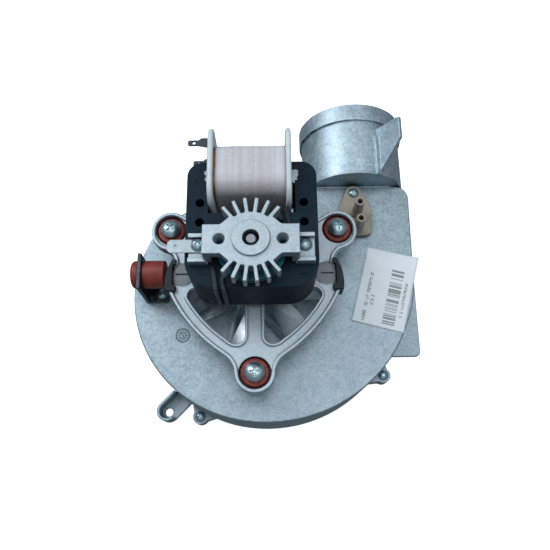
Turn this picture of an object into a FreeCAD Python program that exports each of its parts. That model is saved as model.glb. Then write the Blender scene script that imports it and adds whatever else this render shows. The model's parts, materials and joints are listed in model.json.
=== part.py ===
import FreeCAD, Part
import math
import os
import re
import Sketcher

# Flue fan for a gas boiler: a scroll casing with an outlet spigot, a centrifugal wheel
# inside it, and a shaded-pole motor on a three-armed bracket above it.
# Frame: Z is the shaft axis, pointing from the mounting face to the motor's front,
# Y points out of the outlet spigot, and the origin is the shaft axis on the mounting face.

DOCUMENT = FreeCAD.newDocument("FlueFan")
SHEET = DOCUMENT.addObject("Spreadsheet::Sheet", "Sizes")

SIZES = {
    # Castings and their joint
    "skin": 3.0,
    "rear_thick": 3.0,
    "seal_thick": 0.8,
    "seal_width": 2.6,
    "cover_top": 46.0,
    "screw_play": 0.05,
    # Outline of the scroll, seen along the shaft
    "flank_x": -68.0,
    "flank_y": -1.3,
    "flank_radius": 71.9,
    "sole_x": -13.6,
    "sole_y": -71.0,
    "sole_radius": 83.6,
    "shoulder_x": -58.5,
    "shoulder_y": 33.5,
    "shoulder_radius": 68.0,
    "nape_x": -38.0,
    "nape_y": 49.5,
    "nape_radius": 60.0,
    "crown_radius": 62.4,
    "tongue_x": 30.0,
    "box_top": 63.3,
    "box_right": 89.9,
    "box_corner": 8.0,
    "heel_x": 69.7,
    "heel_y": -44.0,
    "heel_radius": 90.0,
    "side_x": 89.0,
    "side_y": 0.8,
    # Outlet spigot
    "spigot_x": 58.9,
    "spigot_z": 32.0,
    "spigot_radius": 30.0,
    "spigot_bore": 27.2,
    "spigot_end": 107.7,
    "rim_radius": 31.5,
    "rim_width": 10.3,
    "gusset_angle": 63.5,
    "gusset_lean": 50.0,
    "gusset_reach": 15.8,
    "gusset_thick": 2.2,
    "gusset_tip": 80.6,
    "gusset_top": 93.6,
    "strip_angle": 67.0,
    "strip_width": 3.2,
    "strip_end": 88.3,
    "strip_rise": 1.2,
    # Ears that clamp the two castings
    "ear_top": 9.0,
    "ear_tip": 4.4,
    "ear_foot": 11.0,
    "ear_reach": 8.0,
    "ear_hole": 1.55,
    # Mounting lug and flange on the rear casting
    "lug_x": -53.6,
    "lug_y": -63.0,
    "lug_angle": 225.7,
    "lug_radius": 5.9,
    "lug_reach": 20.0,
    "lug_hole": 2.5,
    "lug_wall": 1.8,
    "lug_wall_top": 12.0,
    "flange_right": 100.4,
    "flange_low": -30.8,
    "flange_high": 20.0,
    "flange_corner": 3.0,
    # Air inlet
    "inlet_hole": 38.0,
    "inlet_bore": 33.5,
    "inlet_sheet": 1.2,
    "inlet_flange": 42.5,
    "inlet_lip_top": 9.5,
    "rivet_circle": 40.2,
    "rivet_radius": 1.5,
    "rivet_head": 2.2,
    "rivet_rise": 0.9,
    # Centrifugal wheel
    "wheel_radius": 54.0,
    "wheel_low": 8.0,
    "wheel_high": 36.0,
    "wheel_sheet": 1.0,
    "shroud_bore": 36.5,
    "blade_root": 43.0,
    "blade_tip": 53.4,
    "blade_thick": 0.9,
    "blade_curve": 9.0,
    "blade_lead": 5.0,
    "blade_count": 36,
    "hub_radius": 8.0,
    "hub_collar": 11.0,
    "hub_low": 28.0,
    "hub_high": 40.5,
    "nut_width": 4.0,
    "nut_high": 27.0,
    "nut_low": 23.0,
    "washer_radius": 5.5,
    # Shaft and its seal
    "shaft_radius": 2.5,
    "shaft_low": 20.0,
    "shaft_top": 118.4,
    "shaft_chamfer": 0.5,
    "seal_bore": 3.0,
    "seal_radius": 8.0,
    "seal_collar": 10.0,
    "seal_collar_thick": 1.2,
    # Cooling wheel
    "cooler_low": 49.4,
    "cooler_sheet": 1.0,
    "cooler_disc": 14.0,
    "cooler_radius": 37.0,
    "cooler_chord": 17.0,
    "cooler_pitch": 27.0,
    "cooler_count": 7,
    "cooler_hub": 5.2,
    "cooler_hub_high": 60.5,
    "cooler_level": 54.0,
    # Three-armed motor bracket
    "arm_low": 64.5,
    "arm_floor": 70.2,
    "arm_top": 71.5,
    "arm_rib": 1.8,
    "window_rib": 1.5,
    "arm_wall": 2.4,
    "arm_side": 2.2,
    "pad_x": 37.5,
    "pad_y": 0.5,
    "pad_radius": 6.2,
    "pad_top": 70.9,
    "pad_groove": 0.7,
    "arm_circle": 50.9,
    "lug_cup": 10.1,
    "cup_bore": 7.95,
    "cup_floor": 66.0,
    "cup_low": 62.0,
    "cup_neck": 5.6,
    "hub_cup": 13.0,
    "hub_cup_top": 73.4,
    "post_radius": 6.0,
    "post_top": 57.5,
    "pillar_radius": 4.6,
    "window_top": -7.4,
    "spoke_half": 4.9,
    "relief_half": 22.0,
    "relief_low": 14.0,
    "relief_depth": 25.0,
    "relief_floor": 68.7,
    # Silicone grommets, their sleeves and screws
    "grommet_radius": 7.3,
    "grommet_top": 70.2,
    "grommet_neck": 5.5,
    "grommet_slit": 0.5,
    "sleeve_radius": 3.2,
    "sleeve_bore": 2.3,
    "sleeve_top": 72.4,
    "bolt_radius": 2.0,
    "bolt_head": 5.0,
    "bolt_head_rise": 2.7,
    "bolt_low": 48.5,
    "bolt_depth": 47.5,
    # Buffers clipped over the bracket's rim
    "buffer_near": 40.4,
    "buffer_outer": 46.1,
    "buffer_low_y": -9.0,
    "buffer_high_y": 8.3,
    "buffer_knob": 3.2,
    "buffer_waist": 1.6,
    "buffer_top": 73.0,
    "buffer_low": 62.4,
    "buffer_wall": 1.6,
    # Stator
    "stack_low": 77.9,
    "stack_top": 105.7,
    "stack_half": 30.8,
    "stack_bottom": -18.3,
    "stack_head": 45.1,
    "stack_shoulder": 7.5,
    "stack_foot": 13.5,
    "stator_bore": 16.6,
    "window_half": 20.5,
    "window_low": 18.3,
    "bar_low": 33.5,
    "dovetail_reach": 23.3,
    "dovetail_inset": 1.6,
    "rivet_hole": 2.1,
    "rivet_hole_x": 24.4,
    "rivet_hole_high": 23.6,
    "rivet_hole_low": 13.6,
    "stud_x": 24.5,
    "stud_y": 1.0,
    "stud_radius": 1.5,
    # Coil
    "coil_x": -0.85,
    "bobbin_outer": 19.6,
    "bobbin_flange": 2.6,
    "bobbin_wall": 1.4,
    "bobbin_half_y": 19.7,
    "bobbin_half_z": 23.3,
    "bobbin_middle_y": 41.2,
    "bobbin_middle_z": 92.5,
    "bobbin_round": 8.5,
    "winding_thick": 5.2,
    "tape_thick": 0.7,
    "tab_reach": 31.0,
    "tab_thick": 0.8,
    "tab_width": 3.0,
    "tab_root": 5.4,
    "tab_hole": 0.75,
    "tab_y": 55.4,
    "tab_front_z": 106.0,
    "tab_rear_z": 87.0,
    # Shading rings
    "shade_wire": 1.9,
    "shade_turn": 8.0,
    "shade_outer": 17.85,
    "shade_gap": 3.55,
    "shade_start": 6.0,
    "shade_step": 5.6,
    "shade_play": 0.03,
    # Rotor
    "rotor_radius": 16.15,
    "end_ring_bore": 9.0,
    "end_ring_rise": 2.6,
    # Finned front bearing bracket
    "fin_top": 118.4,
    "fin_low": 110.6,
    "fin_root": 12.8,
    "fin_tip": 19.8,
    "fin_thick": 1.7,
    "fin_step": 15.85,
    "fin_half_count": 3,
    "boss_top": 119.7,
    "boss_radius": 8.4,
    "boss_hole": 3.7,
    "arm_half": 21.5,
    "arm_height": 6.9,
    "arm_thick": 5.0,
    "arm_leg": 3.4,
    "arm_corner_x": 13.6,
    "arm_corner_near": 9.4,
    "arm_corner_y": 10.6,
    "cone_x": 14.0,
    "cone_top": 2.7,
    "cone_end": 1.1,
    "foot_near": 19.8,
    "foot_out": 28.8,
    "foot_high": 6.3,
    "foot_down": -7.7,
    "foot_seat": 107.9,
    "foot_block": 110.4,
    "foot_block_width": 2.1,
    "housing_radius": 9.2,
    "housing_low": 109.0,
    "housing_bore": 6.6,
    # Plain bearings
    "bearing_play": 0.04,
    "bearing_radius": 4.6,
    "bearing_front_top": 113.6,
    "bearing_rear_low": 66.4,
    "felt_tall": 2.8,
    "clip_thick": 0.5,
    "clip_bore": 4.2,
    "clip_radius": 8.2,
    "clip_notch": 6.0,
    "washer_rim": 3.9,
    "end_play": 0.1,
    # Motor screws and earth tab
    "stud_head": 3.1,
    "stud_head_rise": 2.2,
    "earth_thick": 0.8,
    "earth_width": 6.3,
    "earth_reach": 38.3,
    "earth_y": 0.6,
    "earth_hole": 0.65,
    "earth_hole_x": 34.6,
    # Pressure tap
    "tap_base": 2.6,
    "tap_top": 65.5,
    "tap_shoulder": 57.0,
    "tap_root_radius": 3.0,
    "tap_tip_radius": 2.6,
    "tap_bore": 1.6,
    "tap_x": 58.1,
    "tap_high_y": 43.9,
    "tap_low_y": 34.0,
    "tap_screw_x": 57.2,
    "tap_screw_y": 57.2,
    "tap_screw_radius": 1.4,
    "tap_screw_head": 2.9,
    "tap_screw_rise": 2.0,
    "tap_gasket": 0.6,
    # Side bracket and its bush
    "side_plate_x": -60.6,
    "side_plate_thick": 2.0,
    "side_plate_top": 73.0,
    "side_plate_low_y": -7.3,
    "side_plate_high_y": 11.8,
    "side_foot_end": -48.6,
    "side_screw_x": -51.8,
    "side_screw_y": -2.7,
    "side_screw_radius": 1.5,
    "side_screw_head": 2.9,
    "side_screw_rise": 2.0,
    "bush_y": 2.8,
    "bush_z": 64.4,
    "bush_radius": 7.4,
    "bush_neck": 5.6,
    "bush_left": -64.8,
    "bush_right": -47.0,
    "bush_bore": 3.0,
    "bush_depth": 15.0,
    # Label
    "label_x": 72.4,
    "label_y": -0.8,
    "label_width": 29.4,
    "label_height": 45.0,
    "label_angle": -15.0,
    "label_thick": 0.25,
}

for row, (alias, number) in enumerate(SIZES.items(), start=1):
    SHEET.set(f"A{row}", alias.replace("_", " "))
    SHEET.set(f"B{row}", str(number))
    SHEET.setAlias(f"B{row}", alias)
DOCUMENT.recompute()

ALONG_Y = FreeCAD.Rotation(FreeCAD.Vector(1, 0, 0), -90)
ALONG_X = FreeCAD.Rotation(FreeCAD.Vector(0, 1, 0), 90)
UPRIGHT = FreeCAD.Rotation()
ARM_ANGLES = (150, 30, 270)
EARS = (
    ("-34.1", "-66.4", 238.0),
    ("75.2", "-43.4", -33.8),
    ("0", "72.4", 90.0),
)


# ---------------------------------------------------------------- size expressions

def refer(text):
    """Turn a size expression in plain aliases into one that reads the spreadsheet."""
    return re.sub(r"[a-z][a-z0-9_]*",
                  lambda word: "Sizes." + word.group(0) if word.group(0) in SIZES else word.group(0),
                  text)


def value(text):
    """The number that a size expression gives now."""
    return float(SHEET.evalExpression(refer(text)))


def bind(item, **expressions):
    for name, text in expressions.items():
        item.setExpression(name, refer(text))


def place(item, x="0", y="0", z="0", rotation=UPRIGHT):
    item.Placement = FreeCAD.Placement(FreeCAD.Vector(value(x), value(y), value(z)), rotation)
    for axis, text in (("x", x), ("y", y), ("z", z)):
        item.setExpression("Placement.Base." + axis, refer(text))
    return item


def turn(degrees):
    """A rotation about the shaft's direction."""
    return FreeCAD.Rotation(FreeCAD.Vector(0, 0, 1), degrees)


# ---------------------------------------------------------------- Part primitives and booleans

def box(x, y, z, length, width, height, rotation=UPRIGHT):
    item = DOCUMENT.addObject("Part::Box", "Block")
    bind(item, Length=length, Width=width, Height=height)
    return place(item, x, y, z, rotation)


def cylinder(radius, height, x="0", y="0", z="0", rotation=UPRIGHT):
    item = DOCUMENT.addObject("Part::Cylinder", "Round")
    bind(item, Radius=radius, Height=height)
    return place(item, x, y, z, rotation)


def cone(low_radius, high_radius, height, x="0", y="0", z="0", rotation=UPRIGHT):
    item = DOCUMENT.addObject("Part::Cone", "Taper")
    bind(item, Radius1=low_radius, Radius2=high_radius, Height=height)
    return place(item, x, y, z, rotation)


def fuse(*pieces, label="Joined"):
    item = DOCUMENT.addObject("Part::MultiFuse", label)
    item.Shapes = list(pieces)
    item.Label = label
    return item


def cut(base, *tools, label="Shaped"):
    item = DOCUMENT.addObject("Part::Cut", label)
    item.Base = base
    item.Tool = tools[0] if len(tools) == 1 else fuse(*tools, label=label + "_tools")
    item.Label = label
    return item


def common(*pieces, label="Shared"):
    item = DOCUMENT.addObject("Part::MultiCommon", label)
    item.Shapes = list(pieces)
    item.Label = label
    return item


def group(label, pieces):
    """Identical loose pieces kept together as one node of separate solids."""
    item = DOCUMENT.addObject("Part::Compound", label)
    item.Links = list(pieces)
    item.Label = label
    return item


# ---------------------------------------------------------------- sketches

def pin_point(sketch, geometry, end, x, y):
    """Hold one end of a sketch element at a place given by two size expressions."""
    for kind, text in (("DistanceX", x), ("DistanceY", y)):
        index = sketch.addConstraint(Sketcher.Constraint(kind, -1, 1, geometry, end, value(text)))
        sketch.setExpression(f"Constraints[{index}]", refer(text))


def arc_between(start, end, radius):
    """A minor arc; its centre lies left of the way from start to end if radius is positive."""
    chord = end.sub(start)
    half = chord.Length / 2
    rise = math.sqrt(max(radius * radius - half * half, 0))
    left = FreeCAD.Vector(-chord.y, chord.x, 0).normalize()
    centre = start.add(chord.multiply(0.5)).add(left.multiply(math.copysign(rise, radius)))
    spoke_start = start.sub(centre)
    spoke_end = end.sub(centre)
    first = math.atan2(spoke_start.y, spoke_start.x)
    last = math.atan2(spoke_end.y, spoke_end.x)
    if radius < 0:
        first, last = last, first
    circle = Part.Circle(centre, FreeCAD.Vector(0, 0, 1), abs(radius))
    return Part.ArcOfCircle(circle, first, last)


def draw_outline(sketch, corners):
    """Draw a closed outline. A corner is (x, y) or (x, y, radius), where radius bends the
    side that leaves it: positive for an arc about a centre on the left, negative on the right."""
    points = [FreeCAD.Vector(value(corner[0]), value(corner[1]), 0) for corner in corners]
    tips = []
    for number, corner in enumerate(corners):
        start = points[number]
        end = points[(number + 1) % len(points)]
        if len(corner) == 2:
            geometry = sketch.addGeometry(Part.LineSegment(start, end), False)
            tips.append((geometry, 1, 2))
            continue
        radius = value(corner[2])
        geometry = sketch.addGeometry(arc_between(start, end, radius), False)
        tips.append((geometry, 1, 2) if radius > 0 else (geometry, 2, 1))
        index = sketch.addConstraint(Sketcher.Constraint("Radius", geometry, abs(radius)))
        sign = "" if radius > 0 else "-"
        sketch.setExpression(f"Constraints[{index}]", refer(f"{sign}({corner[2]})"))
    for number, corner in enumerate(corners):
        geometry, first, last = tips[number]
        following, following_first, _ = tips[(number + 1) % len(tips)]
        sketch.addConstraint(Sketcher.Constraint("Coincident", geometry, last, following, following_first))
        pin_point(sketch, geometry, first, corner[0], corner[1])


def draw_circle(sketch, radius, x="0", y="0"):
    centre = FreeCAD.Vector(value(x), value(y), 0)
    circle = Part.Circle(centre, FreeCAD.Vector(0, 0, 1), value(radius))
    geometry = sketch.addGeometry(circle, False)
    index = sketch.addConstraint(Sketcher.Constraint("Radius", geometry, value(radius)))
    sketch.setExpression(f"Constraints[{index}]", refer(radius))
    pin_point(sketch, geometry, 3, x, y)


# ---------------------------------------------------------------- PartDesign bodies

def new_body(label):
    body = DOCUMENT.addObject("PartDesign::Body", label)
    body.Label = label
    return body


def sketch_on(body, plane, height="0"):
    """A sketch on one of the body's own origin planes, raised along the plane's normal."""
    support = [item for item in body.Origin.OriginFeatures if item.Role == plane][0]
    sketch = body.newObject("Sketcher::SketchObject", body.Label + "_sketch")
    sketch.AttachmentSupport = [(support, "")]
    sketch.MapMode = "FlatFace"
    sketch.setExpression("AttachmentOffset.Base.z", refer(height))
    return sketch


def pad(body, sketch, length):
    feature = body.newObject("PartDesign::Pad", body.Label + "_pad")
    feature.Profile = sketch
    bind(feature, Length=length)
    return feature


def plate(label, corners, low, thick, holes=()):
    """A flat piece: an outline padded upwards from low, with round holes (radius, x, y)."""
    body = new_body(label)
    sketch = sketch_on(body, "XY_Plane", low)
    draw_outline(sketch, corners)
    for radius, x, y in holes:
        draw_circle(sketch, radius, x, y)
    pad(body, sketch, thick)
    return body


def turned(label, corners, x="0", y="0", rotation=UPRIGHT, z="0"):
    """A round piece: a half section of (radius, height) corners turned about the Z axis."""
    body = new_body(label)
    sketch = sketch_on(body, "XZ_Plane")
    draw_outline(sketch, corners)
    feature = body.newObject("PartDesign::Revolution", label + "_turn")
    feature.Profile = sketch
    feature.ReferenceAxis = (sketch, ["V_Axis"])
    feature.Angle = 360
    place(body, x, y, z, rotation)
    return body


def ring(label, inner, outer, low, high, x="0", y="0"):
    corners = [(inner, low), (outer, low), (outer, high), (inner, high)]
    return turned(label, corners, x, y)


def rounded_block(half_width, half_height, bend, middle_x, middle_y):
    """Corners of an upright rectangle with round corners about a middle point."""
    corners = []
    for side_x, side_y in ((1, -1), (1, 1), (-1, 1), (-1, -1)):
        wide = f"({middle_x}) + ({half_width}) * {side_x}"
        tall = f"({middle_y}) + ({half_height}) * {side_y}"
        near_x = f"{wide} - ({bend}) * {side_x}"
        near_y = f"{tall} - ({bend}) * {side_y}"
        if side_x * side_y < 0:
            corners += [(near_x, tall, bend), (wide, near_y)]
        else:
            corners += [(wide, near_y, bend), (near_x, tall)]
    return corners


def polar(radius, degrees):
    """Size expressions of the point at a radius expression and a fixed angle."""
    cosine = round(math.cos(math.radians(degrees)), 6)
    sine = round(math.sin(math.radians(degrees)), 6)
    return f"({radius}) * {cosine}", f"({radius}) * {sine}"


# ---------------------------------------------------------------- fasteners

def cross_recess(x, y, top, reach, depth, angle=45.0):
    """Two crossed blades that cut a screwdriver recess."""
    blades = []
    for quarter in (0, 90):
        spin = turn(angle + quarter)
        corner = spin.multVec(FreeCAD.Vector(-value(reach), -0.45, 0))
        blades.append(box(f"{x} + {corner.x:.4f}", f"{y} + {corner.y:.4f}", f"{top} - {depth}",
                          f"2 * {reach}", "0.9", f"{depth} + 1", spin))
    return blades


def pan_screw(label, x, y, seat, low, shank, head, rise, angle=45.0):
    """A screw with a domed head that stands on seat, and a cross recess."""
    cap = f"({rise} - 0.5)"
    blank = turned(label + "_blank", [
        ("0", low),
        (f"{shank} - 0.4", low),
        (shank, f"{low} + 0.6"),
        (shank, seat),
        (head, seat),
        (head, f"{seat} + 0.5", f"({head} * {head} + {cap} * {cap}) / (2 * {cap})"),
        ("0", f"{seat} + {rise}"),
    ], x, y)
    recess = cross_recess(x, y, f"{seat} + {rise}", f"{head} * 0.5", f"{rise} * 0.5", angle)
    return cut(blank, *recess, label=label)


# ---------------------------------------------------------------- casings

CASTING_BASE = "rear_thick + seal_thick"
SCROLL = [
    ("tongue_x", "box_top", "crown_radius"),
    ("nape_x", "nape_y", "nape_radius"),
    ("shoulder_x", "shoulder_y", "shoulder_radius"),
    ("flank_x", "flank_y", "flank_radius"),
    ("sole_x", "sole_y", "sole_radius"),
    ("heel_x", "heel_y", "heel_radius"),
    ("side_x", "side_y"),
    ("box_right", "box_top - box_corner", "box_corner"),
    ("box_right - box_corner", "box_top"),
]


def outline_slab(label, corners, low, thick, grow=None):
    """An outline, or one set outwards from it (inwards if grow is negative), extruded."""
    outline = DOCUMENT.addObject("Sketcher::SketchObject", label + "_outline")
    draw_outline(outline, corners)
    profile = outline
    if grow:
        profile = DOCUMENT.addObject("Part::Offset2D", label + "_offset")
        profile.Source = outline
        bind(profile, Value=grow)
    slab = DOCUMENT.addObject("Part::Extrusion", label)
    slab.Base = profile
    slab.DirMode = "Custom"
    slab.Dir = FreeCAD.Vector(0, 0, 1)
    slab.Solid = True
    bind(slab, LengthFwd=thick)
    return place(slab, z=low)


def ear(x, y, direction, low, thick):
    """A screw ear: a foot buried in the casting and a round tip about the screw."""
    body = plate("Ear", [
        ("-ear_reach", "-ear_foot"),
        ("0", "-ear_tip", "ear_tip"),
        ("ear_tip", "0", "ear_tip"),
        ("0", "ear_tip"),
        ("-ear_reach", "ear_foot"),
    ], low, thick)
    return place(body, x, y, "0", turn(direction))


def front_casing():
    shell = outline_slab("Scroll_block", SCROLL, CASTING_BASE, f"cover_top - ({CASTING_BASE})")
    spigot = cylinder("spigot_radius", "spigot_end - box_top", "spigot_x", "box_top", "spigot_z", ALONG_Y)
    rim = cylinder("rim_radius", "rim_width", "spigot_x", "spigot_end - rim_width", "spigot_z", ALONG_Y)
    ears = [ear(x, y, direction, CASTING_BASE, f"ear_top - ({CASTING_BASE})") for x, y, direction in EARS]
    posts = [cylinder("post_radius", "post_top - cover_top + 1", *polar("arm_circle", angle), "cover_top - 1")
             for angle in ARM_ANGLES]
    body = fuse(shell, spigot, rim, *ears, *posts, gusset(), strip(), label="Casing_body")

    cavity = outline_slab("Cavity", SCROLL, "0", "cover_top - skin", "-skin")
    bore = cylinder("spigot_bore", "spigot_end", "spigot_x", "box_top + skin", "spigot_z", ALONG_Y)
    throat_round = cylinder("spigot_bore - 0.4", "3 * skin + 1", "spigot_x", "box_top - 2 * skin", "spigot_z",
                            ALONG_Y)
    throat_slot = box("spigot_x - spigot_radius", "box_top - 2 * skin - 1", f"{CASTING_BASE} + 0.6",
                      "2 * spigot_radius", "4 * skin + 2", f"cover_top - skin - ({CASTING_BASE}) - 1.2")
    throat = common(throat_round, throat_slot, label="Throat")
    holes = [cylinder("ear_hole", "ear_top", x, y) for x, y, _ in EARS]
    threads = [cylinder("bolt_radius + screw_play", "post_top - bolt_depth + 1",
                        *polar("arm_circle", angle), "bolt_depth") for angle in ARM_ANGLES]
    shaft_hole = cylinder("seal_radius", "cover_top")
    tap_holes = [cylinder("tap_bore", "cover_top + 1", "tap_x", y) for y in ("tap_high_y", "tap_low_y")]
    small = [cylinder("tap_screw_radius + screw_play", "4", "tap_screw_x", "tap_screw_y", "cover_top - 3.5"),
             cylinder("side_screw_radius + screw_play", "4", "side_screw_x", "side_screw_y", "cover_top - 3.5")]
    thick_spots = [cylinder("5", "4", "tap_screw_x", "tap_screw_y", "cover_top - 6.5"),
                   cylinder("5", "4", "side_screw_x", "side_screw_y", "cover_top - 6.5")]
    hollow = cut(cavity, *thick_spots, label="Cavity_around_bosses")
    for number, tool in enumerate((hollow, bore, throat, shaft_hole)):
        body = cut(body, tool, label=f"Casing_step_{number}")
    return cut(body, *holes, *threads, *tap_holes, *small, label="front_casing")


def gusset():
    """The three-cornered web on the spigot, which grows outwards from the box to just below the rim."""
    web = plate("Web", [
        ("-2", "box_top - 1"),
        ("0", "box_top + 2"),
        ("gusset_reach", "gusset_tip"),
        ("gusset_reach", "gusset_top"),
        ("-2", "gusset_top"),
    ], "-gusset_thick / 2", "gusset_thick")
    root = FreeCAD.Rotation(FreeCAD.Vector(0, 1, 0), -value("gusset_angle")).multVec(
        FreeCAD.Vector(value("spigot_radius"), 0, 0))
    lean = FreeCAD.Rotation(FreeCAD.Vector(0, 1, 0), -value("gusset_lean"))
    return place(web, f"spigot_x + {root.x:.4f}", "0", f"spigot_z + {root.z:.4f}", lean)


def strip():
    """The flat raised strip that runs along the spigot beside the web."""
    lean = FreeCAD.Rotation(FreeCAD.Vector(0, 1, 0), -value("strip_angle"))
    corner = lean.multVec(FreeCAD.Vector(value("spigot_bore + 1"), 0, -value("strip_width / 2")))
    return box(f"spigot_x + {corner.x:.4f}", "box_top", f"spigot_z + {corner.z:.4f}",
               "spigot_radius + strip_rise - spigot_bore - 1", "strip_end - box_top", "strip_width", lean)


def rear_casing():
    floor = outline_slab("Rear_slab", SCROLL, "0", "rear_thick")
    ears = [ear(x, y, direction, "0", "rear_thick") for x, y, direction in EARS]
    flange = plate("Rear_flange", [
        ("box_right - 22", "flange_low"),
        ("flange_right - flange_corner", "flange_low", "flange_corner"),
        ("flange_right", "flange_low + flange_corner"),
        ("flange_right", "flange_high - flange_corner", "flange_corner"),
        ("flange_right - flange_corner", "flange_high"),
        ("box_right - 22", "flange_high"),
    ], "0", "rear_thick")
    lug = place(plate("Lug_floor", [
        ("-lug_reach", "-lug_radius"),
        ("0", "-lug_radius", "lug_radius"),
        ("lug_radius", "0", "lug_radius"),
        ("0", "lug_radius"),
        ("-lug_reach", "lug_radius"),
    ], "0", "rear_thick"), "lug_x", "lug_y", "0", turn(value("lug_angle")))
    wall = place(plate("Lug_wall", [
        ("-lug_reach + 8.5", "-lug_radius"),
        ("0", "-lug_radius", "lug_radius"),
        ("lug_radius", "0", "lug_radius"),
        ("0", "lug_radius"),
        ("0", "lug_radius - lug_wall", "lug_wall - lug_radius"),
        ("lug_radius - lug_wall", "0", "lug_wall - lug_radius"),
        ("0", "lug_wall - lug_radius"),
        ("-lug_reach + 8.5", "lug_wall - lug_radius"),
    ], "0", "lug_wall_top"), "lug_x", "lug_y", "0", turn(value("lug_angle")))
    rivets = [cylinder("rivet_radius", "rear_thick", *polar("rivet_circle", angle)) for angle in ARM_ANGLES]
    threads = [cylinder("ear_hole - 0.1", "rear_thick", x, y) for x, y, _ in EARS]
    return cut(fuse(floor, flange, lug, wall, *ears, label="Rear_body"),
               cylinder("inlet_hole", "rear_thick"),
               cylinder("lug_hole", "rear_thick", "lug_x", "lug_y"),
               *rivets, *threads, label="rear_casing")


def casing_seal():
    return cut(outline_slab("Seal_outer", SCROLL, "rear_thick", "seal_thick", "-0.2"),
               outline_slab("Seal_inner", SCROLL, "0", "cover_top", "-seal_width"), label="casing_seal")


def casing_screws():
    return group("casing_screws", [
        pan_screw(f"Casing_screw_{number}", x, y, "ear_top", "0.5", "ear_hole - 0.15",
                  "3.0", "2.3", 20 + 35 * number)
        for number, (x, y, _) in enumerate(EARS)])


def inlet_ring():
    body = turned("inlet_ring_blank", [
        ("inlet_bore", "rear_thick + 2"),
        ("inlet_bore + inlet_sheet", "rear_thick + 2"),
        ("inlet_bore + inlet_sheet", "rear_thick + inlet_sheet"),
        ("inlet_flange", "rear_thick + inlet_sheet"),
        ("inlet_flange", "rear_thick"),
        ("inlet_bore + inlet_sheet", "rear_thick"),
        ("inlet_bore", "rear_thick + inlet_sheet"),
    ])
    lip = ring("Inlet_lip", "inlet_bore", "inlet_bore + inlet_sheet", "rear_thick + 1.8", "inlet_lip_top")
    holes = [cylinder("rivet_radius", "10", *polar("rivet_circle", angle)) for angle in ARM_ANGLES]
    return cut(fuse(body, lip, label="Inlet_body"), *holes, label="inlet_ring")


def inlet_rivets():
    top = "rear_thick + inlet_sheet"
    return group("inlet_rivets", [turned(f"Inlet_rivet_{angle}", [
        ("0", "0.3"),
        ("rivet_radius", "0.3"),
        ("rivet_radius", top),
        ("rivet_head", top, "(rivet_head * rivet_head + rivet_rise * rivet_rise) / (2 * rivet_rise)"),
        ("0", f"{top} + rivet_rise"),
    ], *polar("rivet_circle", angle)) for angle in ARM_ANGLES])


# ---------------------------------------------------------------- turning parts

def shaft():
    return turned("rotor_shaft", [
        ("0", "shaft_low"),
        ("shaft_radius - shaft_chamfer", "shaft_low"),
        ("shaft_radius", "shaft_low + shaft_chamfer"),
        ("shaft_radius", "shaft_top - shaft_chamfer"),
        ("shaft_radius - shaft_chamfer", "shaft_top"),
        ("0", "shaft_top"),
    ])


def impeller_wheel():
    """The wheel's back disc and its ring of forward-curved blades."""
    body = new_body("impeller_wheel")
    disc = sketch_on(body, "XY_Plane", "wheel_high - wheel_sheet")
    draw_circle(disc, "wheel_radius")
    draw_circle(disc, "hub_radius")
    pad(body, disc, "wheel_sheet")
    blade = sketch_on(body, "XY_Plane", "wheel_low + wheel_sheet")
    draw_outline(blade, [
        ("blade_root", "0", "-blade_curve * 1.1"),
        ("blade_tip", "blade_lead"),
        ("blade_tip - 0.35", "blade_lead + blade_thick", "blade_curve * 1.1"),
        ("blade_root - 0.35", "blade_thick"),
    ])
    strake = pad(body, blade, "wheel_high - wheel_low - 2 * wheel_sheet + 0.2")
    pattern = body.newObject("PartDesign::PolarPattern", "impeller_blades")
    pattern.Originals = [strake]
    pattern.Axis = (blade, ["N_Axis"])
    pattern.Angle = 360
    pattern.setExpression("Occurrences", refer("blade_count"))
    body.Tip = pattern
    return body


def impeller_shroud():
    return ring("impeller_shroud", "shroud_bore", "wheel_radius", "wheel_low", "wheel_low + wheel_sheet")


def impeller_hub():
    return turned("impeller_hub", [
        ("shaft_radius", "hub_low"),
        ("hub_radius - 1", "hub_low"),
        ("hub_radius", "hub_low + 1"),
        ("hub_radius", "wheel_high"),
        ("hub_collar", "wheel_high"),
        ("hub_collar", "wheel_high + 1.6"),
        ("hub_radius - 1.5", "wheel_high + 1.6"),
        ("hub_radius - 1.5", "hub_high"),
        ("shaft_radius", "hub_high"),
    ])


def impeller_nut():
    corners = []
    for number in range(6):
        corners.append(polar("nut_width / 0.866", 60 * number))
    return plate("impeller_nut", corners, "nut_low", "nut_high - nut_low", [("shaft_radius", "0", "0")])


def impeller_washer():
    return ring("impeller_washer", "shaft_radius", "washer_radius", "nut_high", "hub_low")


def shaft_seal():
    """The ring that closes the casing round the shaft, held in the cover by its collar."""
    low = "cover_top - skin"
    return turned("shaft_seal", [
        ("seal_bore", low),
        ("seal_radius", low),
        ("seal_radius", "cover_top"),
        ("seal_collar", "cover_top"),
        ("seal_collar", "cover_top + seal_collar_thick"),
        ("seal_bore", "cover_top + seal_collar_thick"),
    ])


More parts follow.
